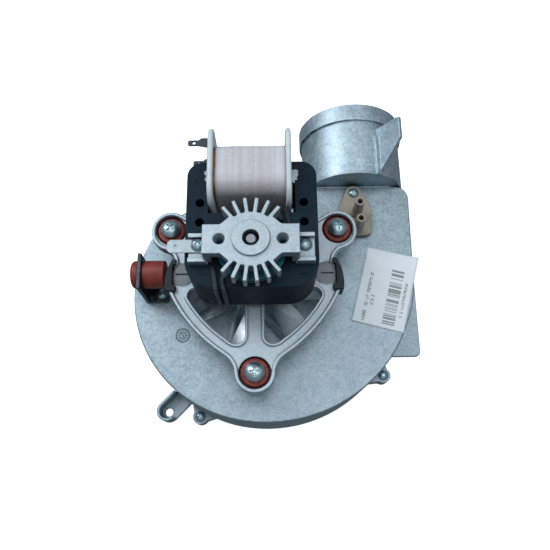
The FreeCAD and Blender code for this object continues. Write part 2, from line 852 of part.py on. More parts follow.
def cooling_fan():
    """Pitched sheet blades on a disc, with a hub tube pressed on the shaft."""
    disc = ring("Cooler_disc", "shaft_radius", "cooler_disc", "cooler_level", "cooler_level + cooler_sheet")
    hub = ring("Cooler_hub", "shaft_radius", "cooler_hub", "cooler_level", "cooler_hub_high")
    blades = []
    for number in range(int(value("cooler_count"))):
        spin = turn(360 / value("cooler_count") * number)
        pitch = FreeCAD.Rotation(FreeCAD.Vector(1, 0, 0), value("cooler_pitch"))
        lean = spin.multiply(pitch)
        corner = lean.multVec(FreeCAD.Vector(value("cooler_disc") - 4, -value("cooler_chord") / 2, 0))
        blades.append(box(f"{corner.x:.4f}", f"{corner.y:.4f}", f"cooler_level + {corner.z:.4f}",
                          "cooler_radius - cooler_disc + 4", "cooler_chord", "cooler_sheet", lean))
    sweep = ring("Cooler_sweep", "shaft_radius", "cooler_radius - 0.6", "cooler_low", "cooler_hub_high")
    trimmed = common(fuse(*blades, label="Cooler_blades"), sweep, label="Cooler_trimmed")
    return fuse(disc, hub, trimmed, label="cooling_fan")


def rotor_core():
    return ring("rotor_core", "shaft_radius", "rotor_radius", "stack_low", "stack_top")


def rotor_end_rings():
    return group("rotor_end_rings", [
        ring("End_ring_front", "end_ring_bore", "rotor_radius", "stack_top", "stack_top + end_ring_rise"),
        ring("End_ring_rear", "end_ring_bore", "rotor_radius", "stack_low - end_ring_rise", "stack_low")])


def shaft_washers():
    """Thrust washers between the rotor and the two plain bearings."""
    return group("shaft_washers", [
        ring("Washer_front", "shaft_radius", "washer_rim", "stack_top", "housing_low - end_play"),
        ring("Washer_rear", "shaft_radius", "washer_rim", "hub_cup_top + end_play", "stack_low")])


# ---------------------------------------------------------------- motor bracket

BRACKET = [
    ("-lug_cup", "-arm_circle", "lug_cup"),
    ("0", "-arm_circle - lug_cup", "lug_cup"),
    ("lug_cup", "-arm_circle", "-11.5"),
    ("14.8", "-42.4", "80"),
    ("44.2", "-8.4", "24"),
    ("41.2", "7.2", "-8"),
    ("47.0", "14.5", "lug_cup"),
    ("arm_circle * 0.866025 + lug_cup", "arm_circle / 2", "lug_cup"),
    ("arm_circle * 0.866025 - lug_cup / 2", "arm_circle / 2 + lug_cup * 0.866025"),
    ("10.5", "17"),
    ("-10.5", "17"),
    ("lug_cup / 2 - arm_circle * 0.866025", "arm_circle / 2 + lug_cup * 0.866025", "lug_cup"),
    ("-arm_circle * 0.866025 - lug_cup", "arm_circle / 2", "lug_cup"),
    ("-47.0", "14.5", "-8"),
    ("-41.2", "7.2", "24"),
    ("-44.2", "-8.4", "80"),
    ("-14.8", "-42.4", "-11.5"),
]
WINDOW = [
    ("spoke_half", "-32.5", "4.2"),
    ("10.2", "-36.4", "6"),
    ("13.8", "-34.4", "70"),
    ("34.0", "-12.6", "4"),
    ("31.4", "window_top"),
    ("10.9", "window_top", "-hub_cup"),
    ("spoke_half", "-12.1"),
]


def mirror_outline(corners):
    """The same outline on the other side of the YZ plane, still drawn anticlockwise."""
    flipped = []
    for number in range(len(corners)):
        corner = corners[-number]
        bend = corners[-number - 1]
        flipped.append((f"-({corner[0]})", corner[1], *bend[2:]))
    return flipped


def motor_bracket():
    windows = (WINDOW, mirror_outline(WINDOW))
    block = outline_slab("Bracket_block", BRACKET, "arm_low", "arm_top - arm_low")
    recess = outline_slab("Bracket_recess", BRACKET, "arm_floor", "arm_top", "-arm_rib")
    raised = [outline_slab("Window_bead", window, "arm_low", "arm_top", "window_rib") for window in windows]
    raised += [cylinder("hub_cup", "arm_top")]
    raised += [cylinder("pad_radius", "pad_top", x, "pad_y") for x in ("pad_x", "-pad_x")]
    pocket = outline_slab("Bracket_pocket", BRACKET, "arm_low - 1",
                          "arm_floor - arm_wall - arm_low + 1", "-arm_side")
    walls = [outline_slab("Window_wall", window, "arm_low - 1", "arm_top", "arm_side") for window in windows]
    walls += [cylinder("lug_cup", "arm_top", *polar("arm_circle", angle)) for angle in ARM_ANGLES]
    walls += [cylinder("hub_cup", "arm_top")]
    walls += [cylinder("pillar_radius", "arm_top", x, "stud_y") for x in ("stud_x", "-stud_x")]
    pillars = [cylinder("pillar_radius", "stack_low - arm_low", x, "stud_y", "arm_low")
               for x in ("stud_x", "-stud_x")]
    cups = [cylinder("lug_cup", "arm_floor - cup_low", *polar("arm_circle", angle), "cup_low")
            for angle in ARM_ANGLES]
    hub = cylinder("hub_cup", "hub_cup_top - arm_low", z="arm_low")
    tray = cut(block, cut(recess, *raised, label="Recess_inside_beads"),
               cut(pocket, *walls, label="Pocket_between_walls"), label="Bracket_tray")
    shape = fuse(tray, *pillars, *cups, hub, label="Bracket_body")
    openings = [outline_slab("Window_hole", window, "0", "stack_low") for window in windows]
    seats = [cylinder("cup_bore", "arm_top", *polar("arm_circle", angle), "cup_floor")
             for angle in ARM_ANGLES]
    necks = [cylinder("cup_neck", "arm_top", *polar("arm_circle", angle), "cup_low - 1")
             for angle in ARM_ANGLES]
    bearing_seat = cylinder("bearing_radius", "hub_cup_top", z="bearing_rear_low")
    felt_seat = cylinder("housing_bore", "felt_tall", z="hub_cup_top - felt_tall")
    coil_relief = box("-relief_half", "relief_low", "relief_floor", "2 * relief_half", "relief_depth", "10")
    shaft_hole = cylinder("shaft_radius + 1", "hub_cup_top")
    studs = [cylinder("stud_radius + screw_play", "12", x, "stud_y", "stack_low - 10")
             for x in ("stud_x", "-stud_x")]
    grooves = [box(x, "pad_y - pad_groove / 2", "pad_top - 1", "pad_radius", "pad_groove", "1")
               for x in ("pad_x - 3", "-pad_x - pad_radius + 3")]
    return cut(shape, *openings, *seats, *necks, *grooves, *studs, bearing_seat, felt_seat, coil_relief,
               shaft_hole, label="motor_bracket")


def grommet(name, angle):
    x, y = polar("arm_circle", angle)
    low = "post_top"
    blank = turned("Grommet_" + name, [
        ("sleeve_radius", low),
        ("grommet_radius", low),
        ("grommet_radius", "cup_low"),
        ("grommet_neck", "cup_low"),
        ("grommet_neck", "cup_floor"),
        ("grommet_radius", "cup_floor"),
        ("grommet_radius", "grommet_top - 0.8", "0.8"),
        ("grommet_radius - 0.8", "grommet_top"),
        ("sleeve_radius", "grommet_top"),
    ], x, y)
    slits = []
    for number in range(3):
        spin = turn(60 * number + 15)
        corner = spin.multVec(FreeCAD.Vector(-9, -value("grommet_slit / 2"), 0))
        slits.append(box(f"{x} + {corner.x:.4f}", f"{y} + {corner.y:.4f}", "grommet_top - 1.2",
                         "18", "grommet_slit", "3", spin))
    return cut(blank, *slits, label="grommet_" + name)


def grommet_sleeves():
    return group("grommet_sleeves", [
        ring(f"Sleeve_{angle}", "sleeve_bore", "sleeve_radius", "post_top", "sleeve_top",
             *polar("arm_circle", angle))
        for angle in ARM_ANGLES])


def bracket_screws():
    return group("bracket_screws", [
        pan_screw(f"Bracket_screw_{angle}", *polar("arm_circle", angle), "sleeve_top", "bolt_low", "bolt_radius",
                  "bolt_head", "bolt_head_rise", angle / 3) for angle in ARM_ANGLES])


def side_buffer(name, side, bracket):
    """A rubber clip over the bracket's rim, with a knob at each end and a notch in its outer side."""
    inner, outer = "buffer_near", "buffer_outer - buffer_waist"
    start = inner
    if side < 0:
        inner, outer = "-buffer_near - buffer_waist", "-buffer_outer"
        start = outer
    grip = box(start, "buffer_low_y", "buffer_low", "buffer_outer - buffer_near",
               "buffer_high_y - buffer_low_y", "buffer_top - buffer_low")
    reach = outline_slab("Buffer_reach", BRACKET, "0", "stack_low", "buffer_wall")
    waist = box(inner, "buffer_low_y + buffer_knob", "arm_floor", "buffer_waist",
                "buffer_high_y - buffer_low_y - 2 * buffer_knob", "10")
    notch = box(outer, "buffer_high_y - 4.6", "arm_top", "buffer_waist", "2.4", "10")
    return cut(common(grip, reach, label="Clip_over_rim"), bracket, waist, notch, label="side_buffer_" + name)


# ---------------------------------------------------------------- stator

MIDDLE_Y = "(bar_low + stack_head) / 2"
MIDDLE_Z = "(stack_low + stack_top) / 2"
BAR_HALF_Y = "(stack_head - bar_low) / 2"
BAR_HALF_Z = "(stack_top - stack_low) / 2"


def stack_side(sign):
    """One leg's inner side, from the top down, with the notch that takes the bar's dovetail."""
    return [
        (f"{sign} * window_half", "stack_head"),
        (f"{sign} * window_half", "stack_head - dovetail_inset"),
        (f"{sign} * dovetail_reach", "stack_head - dovetail_inset"),
        (f"{sign} * dovetail_reach", "bar_low + dovetail_inset"),
        (f"{sign} * window_half", "bar_low + dovetail_inset"),
        (f"{sign} * window_half", "window_low"),
    ]


def shading_box(direction, number, play):
    """One shading ring's square wire, from a slot near the bore out round the stack's edge."""
    spin = turn(direction)
    near = value(f"shade_outer - shade_gap * {number} - {play}")
    start = value(f"shade_start + shade_step * {number} - {play}")
    edge = value(f"(0.05 - stack_bottom - {near} * sin(shade_turn)) / cos(shade_turn)")
    wire = value(f"shade_wire + 2 * {play}")
    outer_corner = spin.multVec(FreeCAD.Vector(near, start, 0))
    inner_corner = spin.multVec(FreeCAD.Vector(near - 1, start + wire, 0))
    outer = box(f"{outer_corner.x:.4f}", f"{outer_corner.y:.4f}", f"stack_low - shade_wire - {play}",
                f"shade_wire + 2 * {play}", f"{edge - start + wire:.4f}",
                f"stack_top - stack_low + 2 * (shade_wire + {play})", spin)
    inner = box(f"{inner_corner.x:.4f}", f"{inner_corner.y:.4f}", f"stack_low + {play}",
                "shade_wire + 4", f"{edge - start - wire:.4f}",
                f"stack_top - stack_low - 2 * {play}", spin)
    return cut(outer, inner, label="Shading_loop")


def shading_loops(play):
    """Two rings at the lower left of the bore and two opposite them."""
    lean = value("shade_turn")
    return [shading_box(direction + lean, number, play) for direction in (0, 180) for number in (0, 1)]


def shading_rings():
    return group("shading_rings", shading_loops(0))


def stator_core():
    outline = [
        ("-stack_half + stack_foot", "stack_bottom"),
        ("stack_half - stack_foot", "stack_bottom", "stack_foot"),
        ("stack_half", "stack_bottom + stack_foot"),
        ("stack_half", "stack_head - stack_shoulder", "stack_shoulder"),
        ("stack_half - stack_shoulder", "stack_head"),
        *stack_side("1"),
        *reversed(stack_side("-1")),
        ("-stack_half + stack_shoulder", "stack_head", "stack_shoulder"),
        ("-stack_half", "stack_head - stack_shoulder"),
        ("-stack_half", "stack_bottom + stack_foot", "stack_foot"),
    ]
    holes = [("stator_bore", "0", "0")]
    for side in ("1", "-1"):
        holes += [("rivet_hole", f"{side} * rivet_hole_x", "rivet_hole_high"),
                  ("rivet_hole", f"{side} * rivet_hole_x", "rivet_hole_low"),
                  ("stud_radius + screw_play", f"{side} * stud_x", "stud_y")]
    stack = plate("Stack", outline, "stack_low", "stack_top - stack_low", holes)
    return cut(stack, *shading_loops(value("shade_play")), label="stator_core")


def coil_core():
    """The straight bar through the coil, held between the legs by a dovetail at each end."""
    return plate("coil_core", [
        ("-window_half", "bar_low"),
        ("window_half", "bar_low"),
        *reversed(stack_side("1")[1:5]),
        ("window_half", "stack_head"),
        ("-window_half", "stack_head"),
        *stack_side("-1")[1:5],
    ], "stack_low", "stack_top - stack_low")


def sideways(label, low, thick, *outlines):
    """A slab extruded along X from outlines given as (Y, Z) corners."""
    body = new_body(label)
    sketch = sketch_on(body, "YZ_Plane", low)
    for corners in outlines:
        draw_outline(sketch, corners)
    pad(body, sketch, thick)
    return body


def around_bar(gap, bend):
    """A rounded rectangle that clears the bar by a gap all round."""
    return rounded_block(f"{BAR_HALF_Y} + {gap}", f"{BAR_HALF_Z} + {gap}", bend, MIDDLE_Y, MIDDLE_Z)


def bobbin():
    bar = around_bar("0.1", "0.1")
    flange = rounded_block("bobbin_half_y", "bobbin_half_z", "bobbin_round", "bobbin_middle_y", "bobbin_middle_z")
    inside = "bobbin_outer - bobbin_flange"
    tube = sideways("Bobbin_tube", f"coil_x - ({inside}) - 1", f"2 * ({inside}) + 2",
                    around_bar("bobbin_wall", "1.5"), bar)
    left = sideways("Bobbin_left", "coil_x - bobbin_outer", "bobbin_flange", flange, bar)
    right = sideways("Bobbin_right", f"coil_x + {inside}", "bobbin_flange", flange, bar)
    return fuse(tube, left, right, label="bobbin")


def wound_layer(label, inner_gap, inner_bend, outer_gap, outer_bend):
    inside = "bobbin_outer - bobbin_flange"
    return sideways(label, f"coil_x - ({inside})", f"2 * ({inside})",
                    around_bar(outer_gap, outer_bend), around_bar(inner_gap, inner_bend))


def coil_winding():
    return wound_layer("coil_winding", "bobbin_wall", "1.5", "bobbin_wall + winding_thick", "5.6")


def coil_tape():
    return wound_layer("coil_tape", "bobbin_wall + winding_thick", "5.6",
                       "bobbin_wall + winding_thick + tape_thick", "6.3")


def coil_terminal(name, middle_z):
    return plate("coil_terminal_" + name, [
        ("coil_x - bobbin_outer", "tab_y - tab_root / 2"),
        ("coil_x - bobbin_outer", "tab_y + tab_root / 2"),
        ("coil_x - bobbin_outer - 4", "tab_y + tab_root / 2"),
        ("coil_x - bobbin_outer - 5.5", "tab_y + tab_width / 2"),
        ("-tab_reach + 0.6", "tab_y + tab_width / 2"),
        ("-tab_reach", "tab_y + tab_width / 2 - 0.6"),
        ("-tab_reach", "tab_y - tab_width / 2 + 0.6"),
        ("-tab_reach + 0.6", "tab_y - tab_width / 2"),
        ("coil_x - bobbin_outer - 5.5", "tab_y - tab_width / 2"),
    ], f"{middle_z} - tab_thick / 2", "tab_thick", [("tab_hole", "-tab_reach + 3", "tab_y")])


# ---------------------------------------------------------------- motor front

def front_bracket():
    """The finned casting that carries the front bearing and stands on the stack."""
    tall = "fin_top - fin_low"
    arms = box("-arm_half", "-arm_height", "fin_top - arm_thick", "2 * arm_half", "2 * arm_height", "arm_thick")
    hub = cylinder("fin_root", tall, z="fin_low")
    corner = [
        ("-arm_corner_x", "-arm_height"),
        ("-arm_corner_near", "-arm_corner_y"),
        ("arm_corner_near", "-arm_corner_y"),
        ("arm_corner_x", "-arm_height"),
        ("arm_corner_x", "arm_height"),
        ("arm_corner_near", "arm_corner_y"),
        ("-arm_corner_near", "arm_corner_y"),
        ("-arm_corner_x", "arm_height"),
    ]
    web = plate("Arm_web", corner, "fin_top - arm_thick", "arm_thick")
    fins = []
    for number in range(-int(value("fin_half_count")), int(value("fin_half_count"))):
        for start in (90, 270):
            spin = turn(start + value("fin_step") * (number + 0.5))
            edge = spin.multVec(FreeCAD.Vector(value("fin_root") - 2, -value("fin_thick") / 2, 0))
            fins.append(box(f"{edge.x:.4f}", f"{edge.y:.4f}", "fin_low",
                            "fin_tip - fin_root + 2", "fin_thick", tall, spin))
    boss = cylinder("boss_radius", "boss_top - fin_top + 1", z="fin_top - 1")
    housing = cylinder("housing_radius", "fin_low - housing_low + 1", z="housing_low")
    feet = []
    for near, leg in (("foot_near", "arm_half - arm_leg"), ("-foot_out", "-arm_half")):
        feet.append(box(leg, "-arm_height", "foot_seat - 0.6", "arm_leg", "2 * arm_height",
                        "fin_top - foot_seat"))
        feet.append(box(near, "foot_down", "stack_top", "foot_out - foot_near", "foot_high - foot_down",
                        "foot_seat - stack_top"))
        block = "arm_half - 1" if near == "foot_near" else "-foot_out"
        for low in ("foot_down", "foot_high - foot_block_width"):
            feet.append(box(block, low, "foot_seat - 0.6", "foot_out - arm_half + 1", "foot_block_width",
                            "foot_block - foot_seat + 0.6"))
    body = fuse(arms, hub, web, boss, housing, *fins, *feet, label="Front_body")
    cores = [cone("cone_end", "cone_top", "arm_thick + 0.2", f"{side} * cone_x", "0", "fin_top - arm_thick - 0.1")
             for side in ("1", "-1")]
    studs = [cylinder("stud_radius + screw_play", "boss_top", f"{side} * stud_x", "stud_y") for side in ("1", "-1")]
    return cut(body, cylinder("boss_hole", "boss_top"),
               cylinder("bearing_radius", "bearing_front_top - housing_low", z="housing_low"),
               cylinder("housing_bore", "felt_tall", z="housing_low"),
               *cores, *studs, label="front_bracket")


def bearing(label, low, top):
    """A sintered bush, turned to a ball shape on the outside."""
    return turned(label, [
        ("shaft_radius + bearing_play", low),
        ("bearing_radius - 0.6", low),
        ("bearing_radius", f"{low} + 1.2"),
        ("bearing_radius", f"{top} - 1.2"),
        ("bearing_radius - 0.6", top),
        ("shaft_radius + bearing_play", top),
    ])


def bearing_felt(label, low):
    return ring(label, "bearing_radius + 0.1", "housing_bore", f"{low} + 0.2", f"{low} + felt_tall - 0.2")


def bearing_clip(label, low):
    """A spring ring that holds the bush and its felt in the seat."""
    blank = ring(label + "_blank", "clip_bore", "clip_radius", low, f"{low} + clip_thick")
    slots = []
    for number in range(3):
        spin = turn(60 * number)
        corner = spin.multVec(FreeCAD.Vector(-value("clip_notch"), -0.5, 0))
        slots.append(box(f"{corner.x:.4f}", f"{corner.y:.4f}", low, "2 * clip_notch", "1", "clip_thick", spin))
    return cut(blank, *slots, label=label)


def motor_screws():
    """The two long screws that clamp bracket, stack and bracket together."""
    seats = (("1", "foot_seat"), ("-1", "foot_seat + earth_thick"))
    return group("motor_screws", [
        pan_screw("Motor_screw_" + str(number), f"{side} * stud_x", "stud_y", seat, "stack_low - 9", "stud_radius",
                  "stud_head", "stud_head_rise", 30 + 70 * number) for number, (side, seat) in enumerate(seats)])


def earth_tab():
    return plate("earth_tab", [
        ("-earth_reach + 1.2", "earth_y - earth_width / 2"),
        ("-stud_x + 2.6", "earth_y - earth_width / 2"),
        ("-stud_x + 2.6", "earth_y + earth_width / 2"),
        ("-earth_reach + 1.2", "earth_y + earth_width / 2"),
        ("-earth_reach", "earth_y + earth_width / 2 - 1.2"),
        ("-earth_reach", "earth_y - earth_width / 2 + 1.2"),
    ], "foot_seat", "earth_thick",
        [("stud_radius + screw_play", "-stud_x", "stud_y"), ("earth_hole", "-earth_hole_x", "earth_y")])


# ---------------------------------------------------------------- fittings on the cover

TAP = [
    ("53.2", "30.8"),
    ("62.8", "30.8", "4"),
    ("66.6", "34.4"),
    ("66.9", "46.6", "14"),
    ("65.2", "52.0"),
    ("61.4", "59.4", "4.8"),
    ("53.2", "60.0"),
    ("47.6", "46.0"),
]


def pressure_tap():
    base = plate("Tap_base", TAP, "cover_top + tap_gasket", "tap_base")
    nipples = []
    for y in ("tap_high_y", "tap_low_y"):
        nipples.append(cone("tap_root_radius", "tap_tip_radius + 0.2", "tap_shoulder - cover_top - tap_gasket",
                            "tap_x", y, "cover_top + tap_gasket"))
        nipples.append(cylinder("tap_tip_radius", "tap_top - tap_shoulder + 1", "tap_x", y, "tap_shoulder - 1"))
    bores = [cylinder("tap_bore - 0.2", "tap_top", "tap_x", y) for y in ("tap_high_y", "tap_low_y")]
    screw = cylinder("tap_screw_radius + screw_play", "tap_top", "tap_screw_x", "tap_screw_y")
    return cut(fuse(base, *nipples, label="Tap_body"), *bores, screw, label="pressure_tap")


def tap_gasket():
    holes = [("tap_bore", "tap_x", "tap_high_y"), ("tap_bore", "tap_x", "tap_low_y"),
             ("tap_screw_radius + screw_play", "tap_screw_x", "tap_screw_y")]
    return plate("tap_gasket", TAP, "cover_top", "tap_gasket", holes)


def side_bracket():
    upright = box("side_plate_x", "side_plate_low_y", "cover_top", "side_plate_thick",
                  "side_plate_high_y - side_plate_low_y", "side_plate_top - cover_top")
    foot = box("side_plate_x", "side_plate_low_y", "cover_top", "side_foot_end - side_plate_x",
               "side_plate_high_y - side_plate_low_y", "side_plate_thick")
    opening = cylinder("bush_neck", "side_plate_thick + 2", "side_plate_x - 1", "bush_y", "bush_z", ALONG_X)
    screw = cylinder("side_screw_radius + screw_play", "side_plate_top", "side_screw_x", "side_screw_y")
    return cut(fuse(upright, foot, label="Side_body"), opening, screw, label="side_bracket")


def side_bush():
    """The silicone bush that grips the side plate, bored for a locating pin."""
    start = "(side_plate_x - bush_left)"
    end = "(side_plate_x - bush_left + side_plate_thick)"
    length = "(bush_right - bush_left)"
    return turned("side_bush", [
        ("bush_bore", "0"),
        ("bush_radius - 2.2", "0", "2.2"),
        ("bush_radius", "2.2"),
        ("bush_radius", start),
        ("bush_neck", start),
        ("bush_neck", end),
        ("bush_radius", end),
        ("bush_radius", f"{length} - 0.8", "0.8"),
        ("bush_radius - 0.8", length),
        ("0", length),
        ("0", "bush_depth"),
        ("bush_bore", "bush_depth"),
    ], "bush_left", "bush_y", ALONG_X, "bush_z")


def rating_label():
    spin = turn(value("label_angle"))
    corner = spin.multVec(FreeCAD.Vector(-value("label_width / 2"), -value("label_height / 2"), 0))
    paper = box(f"label_x + {corner.x:.4f}", f"label_y + {corner.y:.4f}", "cover_top",
                "label_width", "label_height", "label_thick", spin)
    paper.Label = "rating_label"
    return paper


# ---------------------------------------------------------------- the whole fan

def build_all():
    bracket = motor_bracket()
    return [
        front_casing(),
        rear_casing(),
        casing_seal(),
        casing_screws(),
        inlet_ring(),
        inlet_rivets(),
        shaft(),
        impeller_wheel(),
        impeller_shroud(),
        impeller_hub(),
        impeller_nut(),
        impeller_washer(),
        shaft_seal(),
        cooling_fan(),
        rotor_core(),
        rotor_end_rings(),
        shaft_washers(),
        bracket,
        grommet("left", 150),
        grommet("right", 30),
        grommet("bottom", 270),
        grommet_sleeves(),
        bracket_screws(),
        side_buffer("left", -1, bracket),
        side_buffer("right", 1, bracket),
        stator_core(),
        coil_core(),
        bobbin(),
        coil_winding(),
        coil_tape(),
        coil_terminal("front", "tab_front_z"),
        coil_terminal("rear", "tab_rear_z"),
        shading_rings(),
        front_bracket(),
        bearing("front_bearing", "housing_low", "bearing_front_top"),
        bearing("rear_bearing", "bearing_rear_low", "hub_cup_top"),
        bearing_felt("front_felt", "housing_low"),
        bearing_felt("rear_felt", "hub_cup_top - felt_tall"),
        bearing_clip("front_clip", "housing_low - clip_thick"),
        bearing_clip("rear_clip", "hub_cup_top"),
        motor_screws(),
        earth_tab(),
        pressure_tap(),
        tap_gasket(),
        pan_screw("tap_screw", "tap_screw_x", "tap_screw_y", "cover_top + tap_gasket + tap_base", "cover_top - 3",
                  "tap_screw_radius", "tap_screw_head", "tap_screw_rise", 15),
        side_bracket(),
        side_bush(),
        pan_screw("side_screw", "side_screw_x", "side_screw_y", "cover_top + side_plate_thick", "cover_top - 3",
                  "side_screw_radius", "side_screw_head", "side_screw_rise", 60),
        rating_label(),
    ]


def check_and_write(nodes):
    DOCUMENT.recompute()
    faults = [item.Label for item in DOCUMENT.Objects if {"Invalid", "Error"} & set(item.State)]
    for node in nodes:
        if node.Shape.isNull() or not node.Shape.isValid() or not node.Shape.Solids:
            faults.append(node.Label + " (shape)")
    if faults:
        raise RuntimeError("not built: " + ", ".join(faults))
    os.makedirs("parts", exist_ok=True)
    for node in nodes:
        node.Shape.exportStep(f"parts/{node.Label}.step")
        limits = node.Shape.BoundBox
        print(f"{node.Label:24s} {len(node.Shape.Solids):3d} solid(s) {node.Shape.Volume:10.1f} mm3"
              f"  x {limits.XMin:7.2f} {limits.XMax:7.2f}  y {limits.YMin:7.2f} {limits.YMax:7.2f}"
              f"  z {limits.ZMin:7.2f} {limits.ZMax:7.2f}")


check_and_write(build_all())
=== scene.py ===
import json
import math
import random

import bmesh
import bpy
from mathutils import Matrix, Vector


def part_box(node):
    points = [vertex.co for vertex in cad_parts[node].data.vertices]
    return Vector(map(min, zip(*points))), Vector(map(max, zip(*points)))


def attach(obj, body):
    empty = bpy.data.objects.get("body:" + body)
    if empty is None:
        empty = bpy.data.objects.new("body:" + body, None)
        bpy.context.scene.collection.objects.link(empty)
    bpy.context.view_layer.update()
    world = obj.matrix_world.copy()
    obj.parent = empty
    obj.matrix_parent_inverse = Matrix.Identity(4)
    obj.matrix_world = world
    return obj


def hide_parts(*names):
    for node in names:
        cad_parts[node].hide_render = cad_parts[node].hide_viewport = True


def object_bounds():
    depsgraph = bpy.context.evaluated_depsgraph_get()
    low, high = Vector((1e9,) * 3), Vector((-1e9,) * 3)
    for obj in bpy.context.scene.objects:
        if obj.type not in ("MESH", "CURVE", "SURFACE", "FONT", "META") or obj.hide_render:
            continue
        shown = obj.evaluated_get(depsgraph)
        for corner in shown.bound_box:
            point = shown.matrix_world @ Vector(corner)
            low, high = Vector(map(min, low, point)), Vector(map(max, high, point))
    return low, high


MM = 0.001
BODY = "frame"
ROTOR = "rotor"

# Places on the object, in mm
SPIGOT_Y = 62.0
COVER_RIM = (44.5, 47.0)
# discs on the bracket painted dark grey beside the stack, a painted shade: x, y, radius
SHADED_BUFFER_PADS = ((37.5, 0.5, 6.2), (-37.5, 0.5, 6.2))
STACK_MARKS = ((-26.35, 34.6, 0.7, 3.0), (26.3, 34.6, 0.7, 3.0),
               (-23.0, -12.2, 2.6, 0.7), (23.0, -12.2, 2.6, 0.7))
CORE_VARNISH = ((0.016, 0.021, 0.028), 22.0, 33.6, 40.6)
STAMP_PLACE = (-40.0, -26.0)
SHEET_THICK = 0.55
WIRE_PITCH = 0.3

# The label's print: dots to a mm across and along, and each row's middle, half height, ends and seed
DOTS_PER_MM = (2.6, 2.4, 0.0)
PRINT_ROWS = ((-8.9, 1.0, -21.0, 8.0, 11.0), (-5.9, 1.0, -11.0, -5.1, 23.0), (11.0, 0.8, -14.5, 6.8, 37.0))
LABEL_TURN = math.radians(-15.0)

# Mesh clean-up
WELD = 0.002 * MM
FLAT = math.radians(0.5)
SHARP = math.radians(26)

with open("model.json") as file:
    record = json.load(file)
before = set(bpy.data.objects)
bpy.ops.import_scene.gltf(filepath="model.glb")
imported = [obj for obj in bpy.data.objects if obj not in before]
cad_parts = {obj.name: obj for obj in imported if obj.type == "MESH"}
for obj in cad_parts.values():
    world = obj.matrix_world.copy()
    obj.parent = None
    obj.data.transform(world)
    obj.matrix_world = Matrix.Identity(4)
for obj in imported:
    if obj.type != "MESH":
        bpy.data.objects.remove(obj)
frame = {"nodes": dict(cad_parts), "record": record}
cad_low, cad_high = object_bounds()


# ---------------------------------------------------------------- shader helpers

